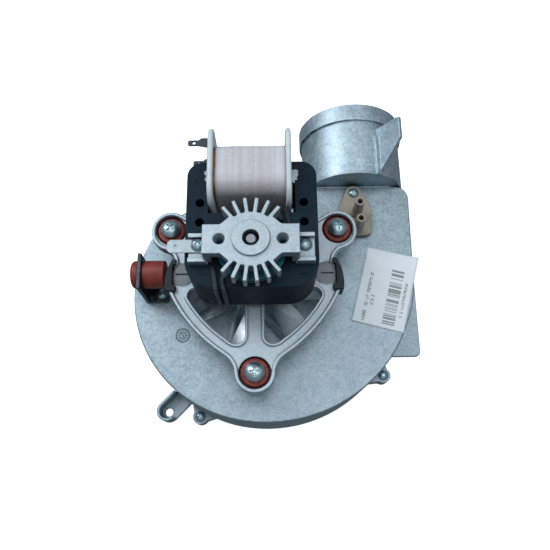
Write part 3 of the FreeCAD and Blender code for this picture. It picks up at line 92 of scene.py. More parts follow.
class Finish:
    """A material, with short ways to add the few kinds of shader node used here. Lengths are in mm."""

    def __init__(self, name, roughness=0.5, metallic=0.0, **constants):
        self.material = bpy.data.materials.new(name)
        self.material.use_nodes = True
        self.tree = self.material.node_tree
        self.surface = self.tree.nodes["Principled BSDF"]
        self.surface.inputs["Roughness"].default_value = roughness
        self.surface.inputs["Metallic"].default_value = metallic
        for socket, number in constants.items():
            self.surface.inputs[socket.replace("_", " ")].default_value = number
        self.geometry = self.add("ShaderNodeNewGeometry")
        spot = self.add("ShaderNodeTexCoord").outputs["Object"]
        self.place = self.add("ShaderNodeVectorMath", operation="SCALE", Vector=spot, Scale=1 / MM).outputs[0]

    def add(self, kind, **settings):
        """A node; settings with a capital letter are its sockets, the others its properties."""
        made = self.tree.nodes.new(kind)
        for name, setting in settings.items():
            if not name[0].isupper():
                setattr(made, name, setting)
            elif isinstance(setting, bpy.types.NodeSocket):
                self.tree.links.new(setting, made.inputs[name])
            else:
                made.inputs[name].default_value = setting
        return made

    def math(self, operation, first, second=0.0):
        made = self.add("ShaderNodeMath", operation=operation)
        for socket, number in zip(made.inputs, (first, second)):
            if isinstance(number, bpy.types.NodeSocket):
                self.tree.links.new(number, socket)
            else:
                socket.default_value = number
        return made.outputs[0]

    def noise(self, size, detail=2.0, stretch=(1, 1, 1), warp=0.0, seed=0.0):
        """Cloudy noise, 0 to 1, with lumps about size across; more stretch makes them shorter that way."""
        spot = self.add("ShaderNodeVectorMath", operation="MULTIPLY", Vector=self.place)
        spot.inputs[1].default_value = stretch
        return self.add("ShaderNodeTexNoise", noise_dimensions="4D", Vector=spot.outputs[0], W=seed,
                        Scale=1 / size, Detail=detail, Distortion=warp).outputs[0]

    def cells(self, size, wobble):
        """A random grey for each grain of an uneven patchwork; wobble, in grains, bends their edges."""
        push = self.add("ShaderNodeTexNoise", Vector=self.place, Scale=2.2 / size, Detail=2.0)
        shift = self.add("ShaderNodeVectorMath", operation="MULTIPLY_ADD", Vector=push.outputs["Color"])
        shift.inputs[1].default_value = (wobble * size,) * 3
        self.tree.links.new(self.place, shift.inputs[2])
        grains = self.add("ShaderNodeTexVoronoi", Vector=shift.outputs[0], Scale=1 / size)
        return self.add("ShaderNodeSeparateColor", Color=grains.outputs["Color"]).outputs[0]

    def spread(self, number, low, high, new_low=0.0, new_high=1.0, smooth=False):
        """The number's place between low and high, as a number between new_low and new_high."""
        kind = "SMOOTHSTEP" if smooth else "LINEAR"
        made = self.add("ShaderNodeMapRange", interpolation_type=kind, Value=number)
        sockets = ("From Min", "From Max", "To Min", "To Max")
        for socket, limit in zip(sockets, (low, high, new_low, new_high)):
            made.inputs[socket].default_value = limit
        return made.outputs[0]

    def mix(self, share, first, second, blend="MIX"):
        """Two colours, or sockets that carry them, mixed by share."""
        made = self.add("ShaderNodeMix", data_type="RGBA", blend_type=blend)
        for socket, given in zip((made.inputs[0], made.inputs[6], made.inputs[7]), (share, first, second)):
            if isinstance(given, bpy.types.NodeSocket):
                self.tree.links.new(given, socket)
            else:
                socket.default_value = given if isinstance(given, float) else (*given, 1.0)
        return made.outputs[2]

    def axis(self, letter):
        return self.add("ShaderNodeSeparateXYZ", Vector=self.place).outputs[letter]

    def near(self, letter, place, reach):
        """1 within reach of a place along one axis, else 0."""
        gap = self.math("ABSOLUTE", self.math("SUBTRACT", self.axis(letter), place))
        return self.math("LESS_THAN", gap, reach)

    def facing(self, letter):
        """How squarely the surface faces along an axis of its own object, 0 to 1."""
        turned = self.add("ShaderNodeVectorTransform", vector_type="NORMAL", convert_from="WORLD",
                          convert_to="OBJECT", Vector=self.geometry.outputs["Normal"])
        split = self.add("ShaderNodeSeparateXYZ", Vector=turned.outputs[0])
        return self.math("ABSOLUTE", split.outputs[letter])

    def sum(self, *weighted):
        """Adds up (height, weight) pairs."""
        total = self.math("MULTIPLY", *weighted[0])
        for height, weight in weighted[1:]:
            total = self.math("ADD", total, self.math("MULTIPLY", height, weight))
        return total

    def waves(self, along, length):
        """A sine wave of a length in mm, -1 to 1."""
        return self.math("SINE", self.math("MULTIPLY", along, 2 * math.pi / length))

    def corners(self, radius):
        """1 on edges and in corners that are sharper than radius, else 0."""
        rounded = self.add("ShaderNodeBevel", samples=4, Radius=radius * MM).outputs[0]
        match = self.add("ShaderNodeVectorMath", operation="DOT_PRODUCT", Vector=rounded)
        self.tree.links.new(self.geometry.outputs["Normal"], match.inputs[1])
        return self.spread(match.outputs["Value"], 1.0, 0.86)

    def crevices(self, distance):
        """1 in the open, falling to 0 deep in a corner or groove."""
        return self.add("ShaderNodeAmbientOcclusion", samples=6, Distance=distance * MM).outputs["AO"]

    def colour(self, socket):
        self.tree.links.new(socket, self.surface.inputs["Base Color"])

    def rough(self, socket):
        self.tree.links.new(socket, self.surface.inputs["Roughness"])

    def relief(self, *layers, edge=0.0):
        """Bump from (height, depth in mm) pairs, over edges rounded in the shading alone by edge mm."""
        normal = self.add("ShaderNodeBevel", samples=4, Radius=edge * MM).outputs[0] if edge else None
        for height, depth in layers:
            bump = self.add("ShaderNodeBump", Height=height, Distance=depth * MM, Strength=1.0)
            if normal:
                self.tree.links.new(normal, bump.inputs["Normal"])
            normal = bump.outputs[0]
        self.tree.links.new(normal, self.surface.inputs["Normal"])


# ---------------------------------------------------------------- materials

def shaded(colour, share):
    return tuple(share * part for part in colour)


def cast_metal(name, dark, light, grain, roughness, edge_light, edge=0.3, cavity=5.0, painted_light_y=None, shaded_pads=()):
    """Die-cast aluminium: patchy flow marks, fine grit, worn edges with a painted highlight, painted shade in
    corners.

    Past the given y it is painted brighter, as painted light on the spigot; pads are (x, y, radius) dull grey
    discs of painted shade."""
    f = Finish(name, metallic=0.82, Specular_IOR_Level=0.5)
    patches = f.cells(grain, 0.9)
    clouds = f.noise(grain * 5.0, 3.0, warp=0.6)
    grit = f.noise(0.42, 2.0)
    mottle = f.noise(grain * 0.9, 4.0, warp=0.8, seed=4.0)
    tone = f.sum((patches, 0.13), (clouds, 0.30), (mottle, 0.50), (grit, 0.20))
    tint = f.mix(f.spread(tone, 0.40, 0.73), dark, light)
    # edges painted pale blue-grey: partly rubbed wear, partly a painted highlight
    tint = f.mix(f.math("MULTIPLY", f.corners(edge * 1.6), edge_light), tint, (0.82, 0.88, 0.92))
    # painted light: the spigot's colour painted half again brighter, standing in for how it is lit
    if painted_light_y:
        bright = f.mix(1.0, tint, (1.5, 1.5, 1.5), "MULTIPLY")
        tint = f.mix(f.spread(f.axis("Y"), painted_light_y, painted_light_y + 4.0), tint, bright)
    # painted shade: dark grey discs where the stack shades the bracket
    for x, y, radius in shaded_pads:
        gaps = [f.math("SUBTRACT", f.axis(letter), place) for letter, place in (("X", x), ("Y", y))]
        squares = f.math("ADD", *(f.math("MULTIPLY", gap, gap) for gap in gaps))
        inside = f.spread(squares, radius ** 2, (radius - 0.5) ** 2)
        tint = f.mix(f.math("MULTIPLY", inside, 0.85), tint, (0.13, 0.135, 0.145))
    # painted shade: darker in corners, grooves and recesses
    painted_shade = f.spread(f.crevices(cavity), 0.25, 0.85)
    f.colour(f.mix(painted_shade, shaded(dark, 0.42), tint))
    f.rough(f.spread(tone, 0.3, 0.9, roughness - 0.07, roughness + 0.10))
    f.relief((patches, 0.012), (clouds, 0.10), (grit, 0.030), edge=edge)
    return f.material


def turned_metal(name, base, roughness, grain=0.5):
    """Rolled, turned or plated steel and brass: fine scratches and a patchy bloom."""
    f = Finish(name, metallic=1.0)
    bloom = f.noise(3.0, 3.0, warp=0.8)
    scratch = f.noise(grain, 3.0, stretch=(1.0, 6.0, 1.0))
    f.colour(f.mix(f.spread(bloom, 0.35, 0.75, 0.0, 0.35), base, shaded(base, 0.6)))
    wear = f.sum((bloom, 1.0), (scratch, 0.5))
    f.rough(f.spread(wear, 0.4, 1.1, roughness - 0.06, roughness + 0.12))
    f.relief((scratch, 0.006), (bloom, 0.02), edge=0.15)
    return f.material


def zinc_plate():
    """Blue-passivated zinc: a bright plating with a faint rainbow bloom."""
    f = Finish("Zinc_plate", metallic=1.0)
    bloom = f.noise(1.8, 3.0, warp=1.0)
    cool = f.mix(f.spread(bloom, 0.3, 0.7), (0.34, 0.55, 0.64), (0.62, 0.72, 0.75))
    # painted shade: near-black in crevices and recesses
    f.colour(f.mix(f.spread(f.crevices(0.8), 0.3, 0.9), (0.05, 0.06, 0.07), cool))
    f.rough(f.spread(f.noise(0.5, 2.0), 0.3, 0.7, 0.28, 0.40))
    f.relief((f.noise(0.35, 2.0), 0.002), edge=0.12)
    return f.material


def galvanised(name, dark, light, roughness=0.34):
    """Zinc-coated sheet with its frost-like crystals."""
    f = Finish(name, metallic=0.95)
    flakes = f.cells(2.4, 0.3)
    fine = f.noise(0.3, 2.0)
    f.colour(f.mix(f.spread(f.sum((flakes, 0.8), (fine, 0.2)), 0.1, 0.9), dark, light))
    f.rough(f.spread(flakes, 0.0, 1.0, roughness - 0.08, roughness + 0.12))
    f.relief((flakes, 0.01), (fine, 0.008), edge=0.15)
    return f.material


def laminations(name, face, wash, roughness, metallic, chips=None, marks=(), **constants):
    """A stack of thin sheets: its sides show the sheets' edges, its front the rolled face.

    chips is (colour, x, low y, high y) of a varnish with a ragged edge, which leaves bare what lies within x
    of the middle and between the two heights; marks are (x, y, wide, tall) punched dents in mm."""
    f = Finish(name, metallic=metallic, **constants)
    smudge = f.noise(4.5, 4.0, warp=0.9)
    fine = f.noise(0.35, 2.0)
    sides = f.spread(f.facing("Z"), 0.7, 0.3)
    lines = f.math("MULTIPLY", f.spread(f.waves(f.axis("Z"), SHEET_THICK), -1.0, 1.0), sides)
    tint = f.mix(f.spread(smudge, 0.38, 0.72), face, wash)
    # painted highlight: edges painted paler and bluer
    tint = f.mix(f.math("MULTIPLY", f.corners(0.3), 0.35), tint, tuple(2.6 * part + 0.02 for part in wash))
    tint = f.mix(f.math("MULTIPLY", lines, 0.45), tint, shaded(face, 0.35))
    if chips:
        varnish_tint, reach, low, high = chips
        ragged = f.spread(f.noise(2.8, 2.0, warp=0.5, seed=9.0), 0.3, 0.7, -1.1, 1.1)
        out_x = f.math("SUBTRACT", f.math("ABSOLUTE", f.axis("X")), reach)
        from_middle = f.math("ABSOLUTE", f.math("SUBTRACT", f.axis("Y"), (low + high) / 2))
        out_y = f.math("SUBTRACT", from_middle, (high - low) / 2)
        outside = f.math("ADD", f.math("MAXIMUM", out_x, out_y), ragged)
        tint = f.mix(f.spread(outside, -0.1, 0.1), tint, varnish_tint)
    dents = 0.0
    for x, y, wide, tall in marks:
        inside = f.math("MULTIPLY", f.near("X", x, wide / 2), f.near("Y", y, tall / 2))
        dents = f.math("MAXIMUM", dents, inside)
    layers = [(lines, 0.03), (fine, 0.012), (smudge, 0.05)]
    if marks:
        # painted shade: the punched dents painted darker inside
        tint = f.mix(f.math("MULTIPLY", dents, 0.8), tint, shaded(face, 0.2))
        layers.append((f.math("SUBTRACT", 1.0, dents), 0.25))
    f.colour(tint)
    f.rough(f.spread(f.sum((smudge, 1.0), (fine, 0.4)), 0.45, 1.0, roughness - 0.08, roughness + 0.14))
    f.relief(*layers, edge=0.2)
    return f.material


def plastic(name, base, shade, roughness=0.42, speck=0.25, edge_highlight=0.12, **constants):
    """Moulded plastic or rubber: an orange-peel skin, faint cloudiness, a painted highlight on edges, painted
    shade in corners.
    """
    f = Finish(name, **constants)
    cloud = f.noise(5.0, 3.0)
    speckle = f.noise(0.25, 2.0)
    tint = f.mix(f.spread(cloud, 0.3, 0.75), base, shade)
    tint = f.mix(f.spread(speckle, 0.62, 0.75, 0.0, speck), tint, shaded(base, 0.55))
    # painted highlight: edges painted paler
    tint = f.mix(f.math("MULTIPLY", f.corners(0.4), edge_highlight), tint, (0.80, 0.80, 0.80))
    # painted shade: darker in corners and recesses
    f.colour(f.mix(f.spread(f.crevices(3.0), 0.15, 0.8), shaded(shade, 0.45), tint))
    f.rough(f.spread(speckle, 0.3, 0.75, roughness - 0.05, roughness + 0.12))
    f.relief((f.noise(0.9, 2.0), 0.02), (speckle, 0.008), edge=0.2)
    return f.material


def wound_tape():
    """Woven tape wound round the coil: streaks along it, thread, and the red of the copper below."""
    f = Finish("Wound_tape", roughness=0.58, Sheen_Weight=0.20, Sheen_Roughness=0.5, Subsurface_Weight=0.05)
    streak = f.noise(2.4, 3.0, stretch=(1.0, 0.03, 0.03), warp=0.1)
    narrow = f.noise(0.5, 2.0, stretch=(1.0, 0.06, 0.06), seed=3.0)
    faint = f.noise(0.35, 2.0, stretch=(0.12, 1.0, 1.0), seed=6.0)
    threads = f.waves(f.axis("X"), 0.42)
    across = f.waves(f.math("ADD", f.axis("Y"), f.axis("Z")), 0.5)
    weave = f.math("MULTIPLY", threads, across)
    tint = f.mix(f.spread(streak, 0.40, 0.62), (0.58, 0.54, 0.58), (0.66, 0.665, 0.71))
    tint = f.mix(f.spread(narrow, 0.57, 0.77, 0.0, 0.28), tint, (0.55, 0.42, 0.43))
    tint = f.mix(f.spread(faint, 0.50, 0.70, 0.0, 0.30), tint, (0.86, 0.84, 0.85))
    # darker and redder towards the bottom: partly copper showing through, partly painted shade on the lower
    # side
    low = f.spread(f.axis("Y"), 36.0, 28.0, 0.0, 0.50, smooth=True)
    tint = f.mix(low, tint, (0.36, 0.29, 0.30))
    # painted shade: darker in creases and corners
    f.colour(f.mix(f.spread(f.crevices(2.0), 0.2, 0.8), (0.20, 0.14, 0.14), tint))
    f.relief((weave, 0.010), (streak, 0.07), (narrow, 0.03))
    return f.material


def felt():
    """Felt soaked in oil: fine matted hair."""
    f = Finish("Oil_felt", roughness=0.9, Sheen_Weight=0.4)
    hair = f.noise(0.3, 4.0, warp=2.0)
    f.colour(f.mix(f.spread(hair, 0.3, 0.7), (0.045, 0.042, 0.034), (0.11, 0.10, 0.08)))
    f.relief((hair, 0.15))
    return f.material


def copper_wire():
    """Enamelled wire wound side by side."""
    f = Finish("Enamelled_copper", roughness=0.25, metallic=0.9, Coat_Weight=0.5, Coat_Roughness=0.1)
    f.colour(f.mix(f.spread(f.noise(2.0, 2.0), 0.3, 0.7), (0.50, 0.18, 0.07), (0.66, 0.30, 0.13)))
    f.relief((f.waves(f.axis("X"), WIRE_PITCH), 0.05))
    return f.material


def varnish(name, base, glow):
    """Poured varnish over metal: glossy and uneven, with pools of a second colour."""
    f = Finish(name, metallic=0.0, Coat_Weight=0.15, Coat_Roughness=0.1, Specular_IOR_Level=0.3,
               Specular_Tint=(0.6, 0.85, 1.0, 1.0))
    pool = f.noise(1.6, 3.0, warp=1.2)
    f.colour(f.mix(f.spread(pool, 0.35, 0.7), base, glow))
    f.rough(f.spread(pool, 0.3, 0.7, 0.16, 0.36))
    f.relief((pool, 0.008), edge=0.3)
    return f.material


def printed_label():
    """White label stock with made-up print: rows of random dots and a block of random bars."""
    f = Finish("Label_print", roughness=0.38, Coat_Weight=0.15, Coat_Roughness=0.2)
    across, along = f.axis("X"), f.axis("Y")

    def between(number, low, high):
        return f.math("MULTIPLY", f.math("GREATER_THAN", number, low), f.math("LESS_THAN", number, high))

    def random_steps(number, pitch, seed):
        step = f.math("FLOOR", f.math("DIVIDE", f.math("ADD", number, seed), pitch))
        return f.add("ShaderNodeTexWhiteNoise", noise_dimensions="1D", W=step).outputs["Value"]

    def unreadable(middle, half_tall, low, high, seed):
        """One row of tiny random dots, broken into words."""
        row = between(across, middle - half_tall, middle + half_tall)
        row = f.math("MULTIPLY", row, between(along, low, high))
        cell = f.add("ShaderNodeVectorMath", operation="MULTIPLY_ADD", Vector=f.place)
        cell.inputs[1].default_value = DOTS_PER_MM
        cell.inputs[2].default_value = (seed, seed, 0.0)
        cell = f.add("ShaderNodeVectorMath", operation="FLOOR", Vector=cell.outputs[0])
        dots = f.add("ShaderNodeTexWhiteNoise", noise_dimensions="2D", Vector=cell.outputs[0])
        dots = f.math("GREATER_THAN", dots.outputs["Value"], 0.42)
        words = f.math("GREATER_THAN", random_steps(along, 1.3, seed), 0.16)
        return f.math("MULTIPLY", f.math("MULTIPLY", row, words), dots)

    bars = f.math("MULTIPLY", between(across, 1.7, 8.7), between(along, -20.3, 13.2))
    ink = f.math("MULTIPLY", bars, f.math("GREATER_THAN", random_steps(along, 0.42, 3.7), 0.47))
    for row in PRINT_ROWS:
        ink = f.math("MAXIMUM", ink, unreadable(*row))
    paper = f.mix(f.spread(f.noise(9.0, 3.0), 0.3, 0.7), (0.80, 0.89, 0.96), (0.85, 0.93, 0.98))
    f.colour(f.mix(f.math("MULTIPLY", ink, 0.72), paper, (0.05, 0.055, 0.065)))
    f.relief((f.noise(0.5, 2.0), 0.006), (f.noise(8.0, 2.0), 0.15))
    return f.material


MATERIALS = {
    "cast_aluminium": cast_metal("Cast_casing", (0.20, 0.272, 0.322), (0.43, 0.52, 0.575), 1.3, 0.46, 0.25,
                                 0.35, painted_light_y=SPIGOT_Y),
    "bracket_aluminium": cast_metal("Cast_bracket", (0.34, 0.41, 0.46), (0.52, 0.60, 0.66), 1.0, 0.50, 0.35,
                                    0.25, 3.0, shaded_pads=SHADED_BUFFER_PADS),
    "galvanised_sheet": galvanised("Galvanised_sheet", (0.18, 0.21, 0.23), (0.42, 0.47, 0.50)),
    "fan_sheet": turned_metal("Bright_sheet", (0.66, 0.73, 0.78), 0.29, 0.8),
    "wheel_sheet": turned_metal("Wheel_sheet", (0.62, 0.65, 0.67), 0.34, 0.8),
    "zinc_steel": zinc_plate(),
    "rivet_aluminium": turned_metal("Rivet_aluminium", (0.60, 0.63, 0.65), 0.40),
    "shaft_steel": turned_metal("Ground_steel", (0.26, 0.29, 0.31), 0.34),
    "spring_steel": turned_metal("Spring_steel", (0.16, 0.18, 0.22), 0.30),
    "hub_brass": turned_metal("Turned_brass", (0.62, 0.43, 0.16), 0.28),
    "sintered_bronze": turned_metal("Sintered_bronze", (0.035, 0.034, 0.034), 0.48),
    "tinned_brass": turned_metal("Tinned_brass", (0.36, 0.42, 0.45), 0.38, 0.4),
    "shading_copper": varnish("Varnished_copper", (0.003, 0.005, 0.007), (0.007, 0.010, 0.013)),
    "enamelled_copper": copper_wire(),
    "rotor_steel": laminations("Rotor_sheets", (0.24, 0.25, 0.27), (0.36, 0.38, 0.40), 0.36, 0.9),
    "bare_laminations": laminations("Bare_sheets", (0.30, 0.36, 0.40), (0.46, 0.53, 0.57), 0.36, 0.9,
                                    chips=CORE_VARNISH),
    "black_laminations": laminations("Black_sheets", (0.004, 0.012, 0.020), (0.010, 0.022, 0.034), 0.52, 0.0,
                                     marks=STACK_MARKS, Specular_IOR_Level=0.2,
                                     Specular_Tint=(0.65, 0.85, 1.0, 1.0)),
    "end_ring_varnish": varnish("Teal_varnish", (0.010, 0.10, 0.13), (0.02, 0.20, 0.24)),
    "red_silicone": plastic("Red_silicone", (0.27, 0.046, 0.034), (0.19, 0.032, 0.026), 0.40, 0.2, 0.04,
                            Specular_IOR_Level=0.4),
    "black_rubber": plastic("Dark_rubber", (0.018, 0.026, 0.036), (0.011, 0.016, 0.023), 0.46, 0.3, 0.04,
                            Specular_IOR_Level=0.3),
    "seal_rubber": plastic("Seal_rubber", (0.03, 0.03, 0.032), (0.02, 0.02, 0.022), 0.6, 0.2),
    "white_nylon": plastic("White_nylon", (0.70, 0.77, 0.80), (0.60, 0.67, 0.70), 0.40, 0.10,
                           Subsurface_Weight=0.12),
    "beige_plastic": plastic("Beige_plastic", (0.36, 0.32, 0.255), (0.27, 0.25, 0.20), 0.44, 0.35),
    "seal_plastic": plastic("Seal_plastic", (0.58, 0.57, 0.52), (0.50, 0.49, 0.45), 0.5, 0.1),
    "washer_plastic": plastic("Washer_plastic", (0.52, 0.46, 0.30), (0.44, 0.38, 0.24), 0.5, 0.1),
    "coil_tape": wound_tape(),
    "oil_felt": felt(),
    "label_paper": printed_label(),
}
DARK_TERMINAL = turned_metal("Dull_terminal", (0.075, 0.085, 0.10), 0.42, 0.4)
# painted shade: the side bracket's sheet painted dark, as it lies in shade under the bush
SHADED_SHEET = galvanised("Shaded_sheet", (0.035, 0.045, 0.050), (0.09, 0.105, 0.12), 0.42)
# painted shade: the date dial painted darker than the cover, standing in for the shade of a sunk stamp
SHADED_STAMP = cast_metal("Shaded_stamp_metal", (0.06, 0.08, 0.10), (0.14, 0.18, 0.21), 1.3, 0.5, 0.1, 0.2)


# ---------------------------------------------------------------- mesh helpers

slots = {entry["node"]: entry["material_slot"] for entry in frame["record"]["subparts"]}
rotor_nodes = set(frame["record"]["behaviour"]["bodies"][ROTOR])


def new_piece(name, mesh, node, material=None, place=None):
    """Puts a mesh into the scene as the piece that stands for a CAD node, or for a detail of one."""
    piece = bpy.data.objects.new(name, mesh)
    bpy.context.scene.collection.objects.link(piece)
    if place is not None:
        piece.matrix_world = place
    mesh.materials.clear()
    mesh.materials.append(material or MATERIALS[slots[node]])
    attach(piece, ROTOR if node in rotor_nodes else BODY)
    return piece


def refined(node, width, rule=None, segments=2, material=None, join=True):
    """A CAD node with its edges rounded by width mm and clean shading.

    rule gives an edge's share of that width from its middle, in mm; join merges flat facets first."""
    mesh = frame["nodes"][node].data.copy()
    if "custom_normal" in mesh.attributes:
        mesh.attributes.remove(mesh.attributes["custom_normal"])
    shape = bmesh.new()
    shape.from_mesh(mesh)
    bmesh.ops.remove_doubles(shape, verts=shape.verts, dist=WELD)
    if join:
        bmesh.ops.dissolve_limit(shape, angle_limit=FLAT, verts=shape.verts, edges=shape.edges)
    weights = shape.edges.layers.float.new("bevel_weight_edge")
    for edge in shape.edges:
        sharp = len(edge.link_faces) == 2 and edge.calc_face_angle(0.0) > SHARP
        middle = (edge.verts[0].co + edge.verts[1].co) / (2 * MM)
        share = (rule(middle) if rule else 1.0) if sharp else 0.0
        edge[weights] = share
        edge.smooth = not sharp or share > 0.0
    for face in shape.faces:
        face.smooth = True
    shape.to_mesh(mesh)
    shape.free()
    piece = new_piece(node + "_finish", mesh, node, material)
    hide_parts(node)
    if width:
        bevel = piece.modifiers.new("Rounded_edges", "BEVEL")
        bevel.limit_method = "WEIGHT"
        bevel.width = width * MM
        bevel.segments = segments
        bevel.use_clamp_overlap = False
        bevel.miter_outer = "MITER_ARC"
    even = piece.modifiers.new("Even_shading", "WEIGHTED_NORMAL")
    even.keep_sharp = True


def finished(shape, name):
    """A mesh made from a bmesh, which is freed."""
    mesh = bpy.data.meshes.new(name)
    shape.to_mesh(mesh)
    shape.free()
    return mesh


def lathe(profile, segments, lift=None):
    """A ring mesh: a closed outline of (radius, height) points in mm, turned about Z.

    lift(angle, radius, height) may change a point's height."""
    shape = bmesh.new()
    rings = []
    for step in range(segments):
        angle = 2 * math.pi * step / segments
        ring = []
        for radius, height in profile:
            raised = lift(angle, radius, height) if lift else height
            place = (radius * MM * math.cos(angle), radius * MM * math.sin(angle), raised * MM)
            ring.append(shape.verts.new(place))
        rings.append(ring)
    for step, ring in enumerate(rings):
        after = rings[(step + 1) % segments]
        for number in range(len(profile)):
            other = (number + 1) % len(profile)
            shape.faces.new((ring[number], after[number], after[other], ring[other])).smooth = True
    bmesh.ops.recalc_face_normals(shape, faces=shape.faces)
    return finished(shape, "Ring")


# ---------------------------------------------------------------- pieces

def grommet(node):
    """A silicone ring with short radial slits near its rim."""
    low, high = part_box(node)
    middle = (low + high) / 2
    rim = (high.x - low.x) / (2 * MM)
    tall = (high.z - low.z) / MM
    slits, slit_share, slit_reach, slit_depth = 8, 0.028, 2.5, 1.0
    bore, neck = 3.3, rim - 2.0

    def notch(angle, radius, height):
        turn = (angle * slits / (2 * math.pi)) % 1.0
        across = abs(turn - 0.5) < slit_share
        inside = across and rim - slit_reach < radius < rim + 0.1 and height > tall - slit_depth
        return height - slit_depth if inside else height

    profile = [(bore, 0.2), (rim - 0.9, 0.0), (rim - 0.25, 0.25), (rim - 0.2, tall * 0.22),
               (neck, tall * 0.30), (neck, tall * 0.55), (rim - 0.3, tall * 0.62), (rim, tall * 0.7),
               (rim, tall - 0.9), (rim - 0.25, tall - 0.3), (rim - 0.9, tall), (rim - 1.6, tall),
               (rim - 2.4, tall), (rim - 3.3, tall), (bore + 0.6, tall - 0.1), (bore, tall - 0.5)]
    mesh = lathe(profile, 256, notch)
    own_turn = middle.x * 20
    place = Matrix.Translation((middle.x, middle.y, low.z)) @ Matrix.Rotation(own_turn, 4, "Z")
    piece = new_piece(node + "_slitted", mesh, node, place=place)
    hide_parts(node)


def coil_tape():
    """The tape round the coil, with a ridge at the edge of each turn and two lapped ends."""
    node = "coil_tape"
    low, high = (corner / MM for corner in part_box(node))
    half_x, half_y, half_z = (high - low) / 2
    middle = (low + high) / 2
    bend, turns = 6.5, 9
    draw = random.Random(11)
    laps = sorted(draw.uniform(low.x + 2, high.x - 2) for _ in range(turns))

    def swell(x):
        step = 0.04 * math.sin(x * 1.9) + 0.02 * math.sin(x * 4.7 + 1.0)
        lap = sum(0.05 * (-1) ** number * math.tanh((x - start) / 0.22) for number, start in enumerate(laps))
        edge = 0.35 * max(0.0, (abs(x) - half_x + 1.0)) ** 2
        return step + lap - edge - 0.25

    outline = []
    for corner_y, corner_z, start in ((1, 1, 0), (-1, 1, 90), (-1, -1, 180), (1, -1, 270)):
        for step in range(13):
            angle = math.radians(start + step * 7.5)
            outline.append((corner_y * (half_y - bend) + bend * math.cos(angle),
                            corner_z * (half_z - bend) + bend * math.sin(angle),
                            math.cos(angle), math.sin(angle)))
    spacing = 1.2
    dense = []
    for number, point in enumerate(outline):
        after = outline[(number + 1) % len(outline)]
        gap = math.hypot(after[0] - point[0], after[1] - point[1])
        pieces = max(1, round(gap / spacing))
        for part in range(pieces):
            share = part / pieces
            dense.append(tuple(a + (b - a) * share for a, b in zip(point, after)))
    shape = bmesh.new()
    columns = 130
    rows = []
    for column in range(columns + 1):
        x = low.x + (high.x - low.x) * column / columns
        out = swell(x)
        row = []
        for y, z, out_y, out_z in dense:
            crown = 0.5 * (1 - (y / half_y) ** 2) if out_z > 0.9 else 0.0
            seam = 0.14 * (math.tanh((y - 8.0) / 0.15) - math.tanh((y + 1.5) / 0.15)) if out_z > 0.9 else 0.0
            push = out + crown * 0.4 + seam
            place = (x, middle.y + y + out_y * out, middle.z + z + out_z * push)
            row.append(shape.verts.new(tuple(part * MM for part in place)))
        rows.append(row)
    for row, after in zip(rows, rows[1:]):
        for number in range(len(dense)):
            other = (number + 1) % len(dense)
            shape.faces.new((row[number], row[other], after[other], after[number])).smooth = True
    bmesh.ops.recalc_face_normals(shape, faces=shape.faces)
    piece = new_piece("coil_tape_wound", finished(shape, "Tape"), node)
    skin = piece.modifiers.new("Thickness", "SOLIDIFY")
    skin.thickness = 0.5 * MM
    skin.offset = -1.0
    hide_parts(node)


def label():
    """The paper label: stuck down in the middle, with its corners lifting a little."""
    node = "rating_label"
    low, high = (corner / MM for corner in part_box(node))
    middle = (low + high) / 2
    box_x, box_y = high.x - low.x, high.y - low.y
    across, along = abs(math.cos(LABEL_TURN)), abs(math.sin(LABEL_TURN))
    tall = (box_y * across - box_x * along) / (across ** 2 - along ** 2)
    wide = (box_x - tall * along) / across
    shape = bmesh.new()
    columns, rows, above = 30, 48, 0.30
    grid = []
    for row in range(rows + 1):
        line = []
        for column in range(columns + 1):
            u, v = column / columns - 0.5, row / rows - 0.5
            lift = 6.6 * max(0.0, u + v - 0.55) ** 2 + 3.0 * max(0.0, -u - v - 0.6) ** 2
            ripple = 0.05 * math.sin(9 * v + 3 * u) + 0.04 * math.sin(5 * u - 4 * v)
            line.append(shape.verts.new((u * wide * MM, v * tall * MM, (above + lift + ripple) * MM)))
        grid.append(line)
    for row in range(rows):
        for column in range(columns):
            shape.faces.new((grid[row][column], grid[row][column + 1],
                             grid[row + 1][column + 1], grid[row + 1][column])).smooth = True
    place = Matrix.Translation(Vector((middle.x, middle.y, low.z)) * MM) @ Matrix.Rotation(LABEL_TURN, 4, "Z")
    piece = new_piece("rating_label_sheet", finished(shape, "Label"), node, place=place)
    skin = piece.modifiers.new("Thickness", "SOLIDIFY")
    skin.thickness = 0.12 * MM
    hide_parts(node)


def date_stamp():
    """A moulder's dial on the cover: a rim, a collar, twelve ticks and a pointer."""
    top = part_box("rating_label")[0].z / MM
    sunk = 0.05
    shape = bmesh.new()

    def raised_bar(angle, start, end, wide, high):
        turned = Matrix.Rotation(angle, 4, "Z")
        corners = [(start, -wide), (end, -wide * 0.6), (end, wide * 0.6), (start, wide)]
        lower = [shape.verts.new(turned @ Vector((x, y, -sunk)) * MM) for x, y in corners]
        upper = [shape.verts.new(turned @ Vector((start + (x - start) * 0.94, y * 0.7, high)) * MM)
                 for x, y in corners]
        shape.faces.new(upper)
        for number in range(4):
            other = (number + 1) % 4
            shape.faces.new((lower[number], lower[other], upper[other], upper[number]))

    for tick in range(12):
        raised_bar(math.radians(30 * tick), 1.9, 3.1, 0.22, 0.2)
    raised_bar(math.radians(118), -1.1, 1.4, 0.28, 0.2)
    ticks = finished(shape, "Stamp")
    rim = lathe([(3.3, -sunk), (3.45, 0.16), (3.65, 0.2), (3.85, 0.16), (4.0, -sunk)], 72)
    collar = lathe([(1.45, -sunk), (1.52, 0.12), (1.7, 0.12), (1.78, -sunk)], 48)
    place = Matrix.Translation(Vector((*STAMP_PLACE, top)) * MM)
    for name, part in (("date_ticks", ticks), ("date_rim", rim), ("date_collar", collar)):
        new_piece(name, part, "front_casing", SHADED_STAMP, place)


def casing_rule(middle):
    """The cover's rim is rounded most; holes and ears least."""
    low, high = COVER_RIM
    return 0.5 if low < middle.z < high else 0.2


